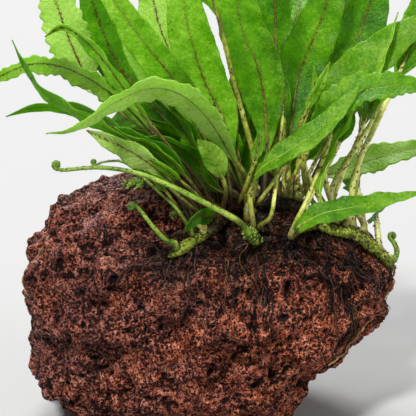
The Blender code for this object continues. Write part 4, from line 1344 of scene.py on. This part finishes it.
def scale_places(spine, radius_at, rng, count, sizes, share_range=(0.01, 0.99), lean=0.45):
    """Matrices for scales spread over a stem, pointing along it and a little away."""
    shares = np.sort(rng.uniform(*share_range, count))
    angles = rng.uniform(-math.pi, math.pi, count)
    feet = spine.around(shares, angles, radius_at(shares, angles) * SCALE_SINK)
    ahead = spine.centre(np.minimum(shares + 0.01, 1))
    behind = spine.centre(np.maximum(shares - 0.01, 0))
    places = []
    for foot, middle, front, back in zip(feet, spine.centre(shares), ahead, behind):
        out = unit(foot - middle)
        along = unit(front - back)
        twist = rng.normal(0, 0.35) * np.cross(along, out)
        length = rng.uniform(*sizes) * MM
        places.append(stance(foot, along + out * lean * rng.uniform(0.3, 1.6) + twist, out,
                             length * 0.62, length * 0.45, length))
    return places


def make_rhizomes(stalk_blank, scale):
    """Each rhizome with its green buds, its brown scales and the parts that hair darkens."""
    for number, name in enumerate(RHIZOMES):
        rng = draws("rhizome", number)
        node = "rhizome_" + name
        path = rhizome_path(name, RHIZOME_PLACES)
        spine = Spine(path)
        radius_at = knobbly(rhizome_radii(RHIZOME_PLACES), rng)
        stem = dress(bend_rod(copied(stalk_blank, node + "_core"), spine, radius_at), RHIZOME)
        count = int(spine.length / MM * BUDS_PER_MM)
        green = scattered(node + "_buds", scale, RHIZOME, scale_places(
            spine, radius_at, rng, count, (0.5, 1.1)))
        brown = scattered(node + "_scales", scale, SCALES, scale_places(
            spine, radius_at, rng, int(1.3 * count), (0.4, 1.3), lean=0.9))
        piece = joined([stem, green, brown], node + "_scaly")
        nearest = np.array([((path - corner) ** 2).sum(axis=1).argmin()
                            for corner in corners_of(piece)])
        note(piece, "dark", np.interp(nearest / (len(path) - 1), *zip(*RHIZOME_DARK[name])))
        finished(piece, "rhizome", node)


def stalk_radius(spec):
    """The stalk's radius along a frond: a round petiole that thins into the midrib."""
    def radius_at(share, angle):
        into_blade = np.clip((share - spec.blade_from) / (1 - spec.blade_from), 0, 1)
        stalk = PETIOLE_RADIUS * (PETIOLE_FOOT - PETIOLE_TAPER * share) * SLIMNESS[spec.rhizome]
        if spec in THIN_FRONDS:
            stalk = stalk * THIN_STALK
        foot = 1 + 0.35 * np.exp(-share / 0.02)
        thin = MIDRIB_RADIUS * (1.5 - into_blade)
        blend = np.clip(into_blade / 0.3, 0, 1) ** 0.6
        groove = 1 - 0.12 * np.exp(-((angle - math.pi / 2) / 0.6) ** 2)
        return (stalk * (1 - blend) * foot + thin * blend) * groove
    return radius_at


def rib_brown(spec, share):
    """How brown the rib is along the blade: on some fronds it turns green towards the tip."""
    if spec.name in GREEN_RIBS:
        return np.zeros(len(share))
    if spec.name in GREEN_ABOVE:
        return 1 - 0.75 * np.clip((share - 0.36) / 0.2, 0, 1)
    return np.ones(len(share))


def shape_blade(blade, spec, spine, rng):
    """Cuts the sheet to the blade's outline and lays it along the midrib, waved and quilted."""
    flat = corners_of(blade)
    across = flat[:, 0]
    share = (flat[:, 1] + 1) / 2
    beside = np.abs(across)
    left = across < 0
    along = share * spine.length * (1 - spec.blade_from)
    widest = spec.width * MM / 2
    half = np.maximum(widest * blade_width(share), 0.25 * MM)
    fullness = np.clip(half / widest, 0, 1)
    deeper, closer = (2.4, 0.7) if spec.name in SCALLOPED else (1, 1)
    waves = rng.uniform(*SCALLOP_WAVES, 2) * MM
    starts = rng.uniform(0, 2 * math.pi, 4)
    depth = rng.uniform(*SCALLOP_DEPTHS) * MM * deeper
    wave = np.where(left, waves[0], waves[1]) * closer
    start = np.where(left, starts[0], starts[1])
    scallop = np.sin(2 * math.pi * along / wave + start + 0.9 * np.sin(along / (3.3 * MM)))
    uneven = 2 * np.sin(along / (2.3 * MM) + start)
    nicks = NICK_DEPTH * np.sin(2 * math.pi * along / NICK_SPACING + uneven)
    sideways = across * half + np.sign(across) * (depth * scallop + nicks) * beside ** 2 * fullness
    ruffle_wave = np.where(left, rng.uniform(*RUFFLE_WAVES), rng.uniform(*RUFFLE_WAVES)) * MM
    ruffle_start = np.where(left, starts[2], starts[3])
    ruffle = np.sin(2 * math.pi * along / ruffle_wave + ruffle_start) * beside ** 1.8
    ruffle *= rng.uniform(*RUFFLE_DEPTHS) * MM * fullness
    fold = rng.uniform(0.10, 0.22) * beside ** 1.2 * half
    fold += 0.04 * widest * np.sin(along / (9 * MM) + starts[0]) * beside
    vein = (along - np.abs(sideways) * VEIN_LEAN) / VEIN_SPACING
    quilt = QUILT_HEIGHT * np.abs(np.sin(math.pi * vein)) * fullness
    quilt *= np.sin(math.pi * np.clip(beside, 0, 1)) ** 0.6
    path_share = spec.blade_from + share * (1 - spec.blade_from)
    move_corners(blade, spine.place(path_share, sideways, fold + ruffle + quilt))
    note(blade, "side", sideways / MM)
    note(blade, "along", along / MM)
    note(blade, "edge", beside)
    # The frond's lightness: partly its age, partly painted shade and painted light shining through
    note(blade, "light", spec.light + rng.uniform(-0.06, 0.06))
    note(blade, "brown", rib_brown(spec, share))
    thicken = blade.modifiers.new("thickness", "SOLIDIFY")
    thicken.thickness = BLADE_THICKNESS
    thicken.offset = 0
    apply_modifiers(blade)
    return dress(blade, BLADE)


def make_frond(spec, rng, blanks, sway, belly):
    """One frond: its blade, the stalk that runs on as its rib, and their small scales."""
    blade_blank, stalk_blank, scale = blanks
    path = stem_path(spec, sway, belly, FROND_PLACES)
    spine = Spine(path, blade_frames(spec, path))
    blade = shape_blade(copied(blade_blank, spec.name + "_sheet"), spec, spine, rng)
    radius_at = stalk_radius(spec)
    stalk = bend_rod(copied(stalk_blank, spec.name + "_stalk"), spine, radius_at)
    share = rod_places(stalk_blank)[0]
    into_blade = (share - spec.blade_from) / (1 - spec.blade_from)
    note(stalk, "rib", np.clip(into_blade / 0.25, 0, 1))
    note(stalk, "light", STALK_LIGHTNESS[spec.rhizome] + rng.uniform(-0.03, 0.03))
    old = FOOT_BROWN[spec.rhizome]
    if spec.rhizome in ("centre", "back"):
        old *= 1 - 0.7 * np.clip((spec.place - 0.35) / 0.3, 0, 1)
    note(stalk, "foot", np.clip(1 - share / FOOT_SHARE[spec.rhizome], 0, 1) ** 0.7 * old)
    note(stalk, "brown", rib_brown(spec, into_blade))
    dress(stalk, STALK)
    bare = spine.length * spec.blade_from / MM
    on_stalk = scale_places(spine, radius_at, rng, int(bare * 1.1) + 8, (0.5, 1.1),
                            (0.02, spec.blade_from + 0.05))
    on_rib = scale_places(spine, radius_at, rng, int(bare * 0.4) + 20, (0.4, 0.7),
                          (spec.blade_from, 0.96))
    scales = scattered(spec.name + "_scales", scale, SCALES, on_stalk + on_rib)
    return joined([blade, stalk, scales], spec.name + "_leaf")


def make_fronds(blanks, thin_blanks, standing):
    """The fronds stand for their solids; the thin ones are squeezed in between them."""
    for number, spec in enumerate(FRONDS):
        rng = draws("frond", number)
        finished(make_frond(spec, rng, blanks, *settle(spec, standing)), "frond", spec.name)
    for number, spec in enumerate(THIN_FRONDS):
        rng = draws("thin frond", number)
        finished(make_frond(spec, rng, thin_blanks, *squeeze_in(spec, standing)), "frond")


def coiled_path(spec):
    """The path of a young frond with its tight coil, and the share at which the coil starts."""
    stem, heading, inward, radius = crozier_path(spec, CROZIER_PLACES, COIL_TIGHTNESS)
    turns = np.linspace(0, 1, COIL_PLACES + 1)[1:]
    angles = turns * COIL_TURNS
    centre = stem[-1] + inward * radius
    reach = radius * (1 - 0.80 * turns ** 0.9)
    side = unit(np.cross(heading, inward))
    coil = (centre + (reach * np.sin(angles))[:, None] * heading
            - (reach * np.cos(angles))[:, None] * inward + (turns * 0.35 * MM)[:, None] * side)
    path = np.vstack([stem, coil])
    path = between(path, path_shares(path), np.linspace(0, 1, COILED_PLACES))
    return path, path_length(stem) / path_length(path)


def make_croziers(stalk_blank, scale):
    """The young fronds; the long one swells at its foot and has a tuft of small leaves there."""
    for number, spec in enumerate(CROZIERS):
        rng = draws("crozier", number)
        path, coil_from = coiled_path(spec)
        spine = Spine(path)
        leafy = spec.name == "crozier_long"

        def radius_at(share, angle, thick=spec.radius * MM, coil_from=coil_from,
                      swelling=0.9 if leafy else 0.3):
            thinning = 1 - CROZIER_TAPER * share
            in_coil = np.clip((share - coil_from) / (1 - coil_from), 0, 1)
            foot = 1 + swelling * np.exp(-share / 0.03)
            return thick * thinning * foot * (1 + 0.45 * in_coil)

        rod = dress(bend_rod(copied(stalk_blank, spec.name + "_rod"), spine, radius_at), YOUNG)
        share = rod_places(stalk_blank)[0]
        note(rod, "rib", 0.0)
        note(rod, "light", -0.10 * np.clip((share - coil_from + 0.04) / 0.08, 0, 1))
        note(rod, "foot", np.clip(1 - share / 0.06, 0, 1) * 0.3)
        parts = [rod, scattered(spec.name + "_scales", scale, SCALES, scale_places(
            spine, radius_at, rng, int(spine.length / MM * 1.6) + 20, (0.4, 0.9), (0.01, 0.98)))]
        if leafy:
            parts.append(scattered(spec.name + "_buds", scale, MOSS, scale_places(
                spine, radius_at, rng, 70, (0.8, 1.6), (0.0, 0.045), lean=0.9)))
        finished(joined(parts, spec.name + "_stem"), "stem", spec.name)


def make_cut_stalk(stalk_blank, scale):
    rng = draws("cut stalk")
    path = stem_path(CUT_STALK, 0, 0, CUT_STALK_PLACES)
    spine = Spine(path)

    def radius_at(share, angle):
        return CUT_STALK.radius * MM * (1 + 0.35 * np.exp(-share / 0.1) + 0.1 * np.sin(share * 30))

    rod = dress(bend_rod(copied(stalk_blank, "cut_rod"), spine, radius_at), STALK)
    note(rod, "rib", 0.0)
    note(rod, "light", 0.08)
    note(rod, "foot", 0.10)
    scales = scattered("cut_scales", scale, SCALES, scale_places(
        spine, radius_at, rng, 26, (0.5, 1.0)))
    finished(joined([rod, scales], "stalk_cut_left_end"), "stem", CUT_STALK.name)


# Roots

def lie_on(solid, path, clearance):
    """Lays the path's places on the rock."""
    laid = path.copy()
    for _ in range(LAYING_ROUNDS):
        for number, place in enumerate(laid):
            nearest, normal, _, distance = solid.find_nearest(Vector(place))
            offset = Vector(place) - nearest
            height = -distance if offset.dot(normal) < 0 else distance
            laid[number] = place + np.array(normal) * (clearance - height) * 0.6
        smoothed(laid, 0.12)
    return laid


def on_rock(solid, across, down):
    """The point of the rock that shows at this pixel of the view from the front."""
    near, far = (Vector(seen(across, down, depth)) for depth in (-90, 60))
    hit = solid.ray_cast(near, (far - near).normalized())[0]
    if hit is None:
        hit = solid.find_nearest(Vector(seen(across, down, 0)))[0]
    return np.array(hit)


def smoothed(path, share):
    """Moves each place of the path towards the middle of its neighbours."""
    path[1:-1] += share * (path[:-2] + path[2:] - 2 * path[1:-1])


def bundle(solid, path, count, spread, rng):
    """Strands that run together along a path over the rock, and part and meet again."""
    paths = []
    heading = directions(path)
    known = path_shares(path)
    for _ in range(count):
        first, last = np.sort(rng.uniform(0, 1, 2))
        shares = np.linspace(0.4 * first, 0.6 + 0.4 * last, STRAND_PLACES)
        offset = rng.normal(0, spread)
        wander = rng.normal(0, 0.5 * spread, 4)
        lift = rng.uniform(0.15, 0.9) * MM
        strand = []
        places = between(path, known, shares)
        for share, place, way in zip(shares, places, between(heading, known, shares)):
            normal = np.array(solid.find_nearest(Vector(place))[1])
            side = unit(np.cross(way, normal))
            swing = sum(size * math.sin((number + 1) * 3.3 * share + 9 * size / spread)
                        for number, size in enumerate(wander))
            nearest, normal, _, _ = solid.find_nearest(Vector(place + side * (offset + swing)))
            strand.append(np.array(nearest) + np.array(normal) * lift)
        strand = np.array(strand)
        for _ in range(2):
            smoothed(strand, 0.3)
        paths.append(strand)
    return paths


def note_strands(root, blank, count, rng, some_amber):
    """How brown each of many strands is; of the fine roots, a few are amber."""
    corners = len(blank.data.vertices)
    note(root, "brown", np.repeat(rng.random(count), corners))
    amber = 0.7 * rng.random(count) ** 22 if some_amber else np.zeros(count)
    note(root, "amber", np.repeat(amber, corners))
    note(root, "tip", 0.0)


def make_thick_roots(solid, root_blank, strand_blank):
    """The amber roots are single; each of the dark ones is a bundle of strands."""
    for number, (name, (radius, places)) in enumerate(ROOTS.items()):
        rng = draws("thick root", number)
        path = smooth_path([seen(*place) for place in places], ROOT_PLACES)
        path = lie_on(solid, path, radius * MM * 0.6 + ROOT_CLEARANCE)
        if name in AMBER_ROOTS:
            def radius_at(share, angle, thick=radius * MM):
                return thick * (1 - ROOT_TAPER * share) * (1 + 0.12 * np.sin(share * 70)) * 0.72

            spine = Spine(path)
            root = bend_rod(copied(root_blank, name + "_strand"), spine, radius_at)
            note(root, "amber", 1.0)
            note(root, "tip", np.clip((rod_places(root_blank)[0] - 0.7) / 0.25, 0, 1))
        else:
            paths = bundle(solid, path, BUNDLE_STRANDS, 0.9 * MM, rng)
            radii = rng.uniform(0.10, 0.22, len(paths)) * MM
            root = strands(name + "_strands", strand_blank, paths, radii)
            note_strands(root, strand_blank, len(paths), rng, some_amber=False)
        finished(dress(root, ROOT), "root", name)


def creeping_strand(solid, start, heading, steps, step, rng, lift):
    """A fine root that feels its way down over the rock."""
    place = np.array(start)
    way = unit(np.array(heading))
    places = []
    turn = rng.normal(0, 0.25)
    for number in range(steps):
        nearest, normal, _, _ = solid.find_nearest(Vector(place))
        normal = np.array(normal)
        place = np.array(nearest) + normal * lift * (1 + 0.8 * math.sin(number * 0.9 + turn * 9))
        if place[2] < 1.5 * MM:
            break
        places.append(place)
        turn = 0.75 * turn + rng.normal(0, 0.22)
        way = way + 0.16 * DOWN + turn * np.cross(normal, way)
        way = unit(way - normal * np.dot(way, normal))
        place = place + way * step
    return np.array(places)


def matted(rock):
    """The rock and the rhizomes as one surface, for the hairs that lie over both."""
    corners = [corner.co.copy() for corner in rock.data.vertices]
    faces = faces_of(rock)
    stem_faces = loft_faces(MAT_PLACES, RHIZOME_SIDES)
    radii = rhizome_radii(MAT_PLACES)
    for name in RHIZOMES:
        stem = tube(rhizome_path(name, MAT_PLACES), radii, RHIZOME_SIDES)
        start = len(corners)
        corners.extend(Vector(corner) for corner in stem)
        faces.extend(tuple(start + corner for corner in face) for face in stem_faces)
    return BVHTree.FromPolygons(corners, faces)


def hair_over(name, stem, mat, rng):
    """Short hairs that start on top of the rhizome's dark parts and fall over its sides."""
    shares = np.linspace(0, 1, len(stem))
    darkness = np.interp(shares, *zip(*RHIZOME_DARK[name]))
    heading = directions(stem)
    paths = []
    for index in rng.choice(len(stem), HAIR_COUNTS[name], p=darkness / darkness.sum()):
        start = stem[index] + rng.normal(0, 0.8, 3) * MM - 2.4 * DOWN * MM
        way = rng.normal(0, 1, 3) + heading[index] * rng.normal(0, 1)
        hair = creeping_strand(mat, start, way, int(rng.uniform(5, 13)), 0.9 * MM, rng,
                               rng.uniform(0.1, 0.5) * MM)
        if len(hair) >= SHORTEST_STRAND:
            paths.append(hair)
    return paths


def roots_from(name, stem, solid, rng):
    """Fine roots that creep from the rhizome over the rock, most of them short, and their radii."""
    heading = directions(stem)
    paths = []
    radii = []
    for _ in range(ROOT_COUNTS[name]):
        index = rng.integers(0, len(stem))
        sideways = np.cross(heading[index], (0, 0, 1)) * rng.choice((-1.0, 1.0))
        to_back = name == "back" or (name == "centre" and rng.random() < 0.5)
        forward = np.array((0, 0.5 if to_back else -0.5, -0.4))
        way = sideways * rng.uniform(0, 0.8) + heading[index] * rng.normal(0, 0.6) + forward
        lengths = rng.uniform(5, 12), rng.uniform(10, 30), rng.uniform(30, 60)
        steps = int(rng.choice(lengths, p=(0.55, 0.3, 0.15)))
        path = creeping_strand(solid, stem[index] + DOWN * MM, way, steps, 1.5 * MM, rng,
                               rng.uniform(0.1, 0.7) * MM)
        if len(path) >= SHORTEST_STRAND:
            paths.append(path)
            radii.append(rng.uniform(0.11, 0.26) * MM)
    return paths, radii


def make_fine_roots(solid, mat, strand_blank):
    """The mat of fine roots that spreads from each rhizome over the rock."""
    for number, name in enumerate(ROOT_COUNTS):
        rng = draws("fine roots", number)
        stem = rhizome_path(name, HAIR_PLACES)
        paths, radii = roots_from(name, stem, solid, rng)
        hairs = hair_over(name, stem, mat, rng)
        paths.extend(hairs)
        radii.extend(rng.uniform(0.10, 0.22, len(hairs)) * MM)
        if name == "right":
            for places, count, spread in ROOT_RUNS:
                run = smooth_path([on_rock(solid, *place) for place in places], RUN_PLACES)
                paths.extend(bundle(solid, run, count, spread * MM, rng))
                radii.extend(rng.uniform(0.14, 0.30, count) * MM)
        piece = strands("root_hairs_" + name, strand_blank, paths, radii)
        note_strands(piece, strand_blank, len(paths), rng, some_amber=True)
        finished(dress(piece, ROOT), "root")


def make_moss(solid, scale):
    """Tufts of small leaves that stand out from the rock."""
    rng = draws("moss")
    places = []
    for pixel, size in MOSS_TUFTS:
        middle = on_rock(solid, *pixel)
        for _ in range(int(MOSS_LEAVES_PER_MM * size)):
            spot = Vector(middle + rng.normal(0, 0.42 * size * MM, 3))
            nearest, normal, _, _ = solid.find_nearest(spot)
            way = np.array(normal) + rng.normal(0, 0.55, 3)
            length = rng.uniform(0.8, 2.1) * MM
            places.append(stance(np.array(nearest), way, rng.normal(0, 1, 3),
                                 length * 0.7, length * 0.4, length))
    finished(scattered("moss_tufts", scale, MOSS, places), "frond")


# The floor, the light and the view

def make_floor():
    let_go()
    bpy.ops.mesh.primitive_plane_add(size=FLOOR_SIZE, location=(0, 0, -FLOOR_DROP))
    floor = rename(bpy.context.active_object, "floor")
    pale = bpy.data.materials.new("pale floor")
    pale.use_nodes = True
    shader = pale.node_tree.nodes["Principled BSDF"]
    shader.inputs["Base Color"].default_value = (0.34, 0.34, 0.335, 1)
    shader.inputs["Roughness"].default_value = 0.9
    dress(floor, pale)


def add_sun(name, direction, angle, strength):
    lamp = bpy.data.lights.new(name, "SUN")
    lamp.angle = math.radians(angle)
    lamp.energy = strength
    made = bpy.data.objects.new(name, lamp)
    bpy.context.collection.objects.link(made)
    made.rotation_euler = Vector(direction).to_track_quat("-Z", "Y").to_euler()


def make_light():
    for name, direction, angle, strength in SUNS:
        add_sun(name, direction, angle, strength)
    world = bpy.data.worlds.new("studio")
    world.use_nodes = True
    sky = world.node_tree.nodes["Background"]
    sky.inputs["Color"].default_value = (0.92, 0.95, 1.0, 1)
    sky.inputs["Strength"].default_value = 0.30
    bpy.context.scene.world = world


def make_camera():
    camera = bpy.data.objects.new("camera", bpy.data.cameras.new("camera"))
    bpy.context.collection.objects.link(camera)
    back = VIEW_DISTANCE * math.cos(VIEW_TILT)
    camera.location = (0, -back, MIDDLE_HEIGHT + VIEW_DISTANCE * math.sin(VIEW_TILT))
    camera.rotation_euler = (math.pi / 2 - VIEW_TILT, 0, 0)
    camera.data.sensor_width = SENSOR_WIDTH_MM
    camera.data.lens = SENSOR_WIDTH_MM * VIEW_DISTANCE / (2 * PICTURE_MIDDLE * PIXEL)
    bpy.context.scene.camera = camera


def main():
    blanks = [
        flat_blank("blade_blank", *BLADE_CUTS), flat_blank("thin_blade_blank", *THIN_BLADE_CUTS),
        round_blank("stalk_blank", *STALK_CUTS), round_blank("thin_stalk_blank", *THIN_STALK_CUTS),
        round_blank("root_blank", *ROOT_CUTS), round_blank("strand_blank", *STRAND_CUTS),
        scale_blank("scale_blank"),
    ]
    blade, thin_blade, stalk, thin_stalk, root, strand, scale = blanks
    rock = make_rock()
    make_rhizomes(stalk, scale)
    make_croziers(stalk, scale)
    make_cut_stalk(stalk, scale)
    make_fronds((blade, stalk, scale), (thin_blade, thin_stalk, scale), standing_stems())
    solid = surface_of(rock)
    make_thick_roots(solid, root, strand)
    make_fine_roots(solid, matted(rock), strand)
    make_moss(solid, scale)
    for blank in blanks:
        bpy.data.objects.remove(blank)
    make_floor()
    make_light()
    make_camera()
    bpy.context.scene.view_settings.view_transform = "Standard"


main()
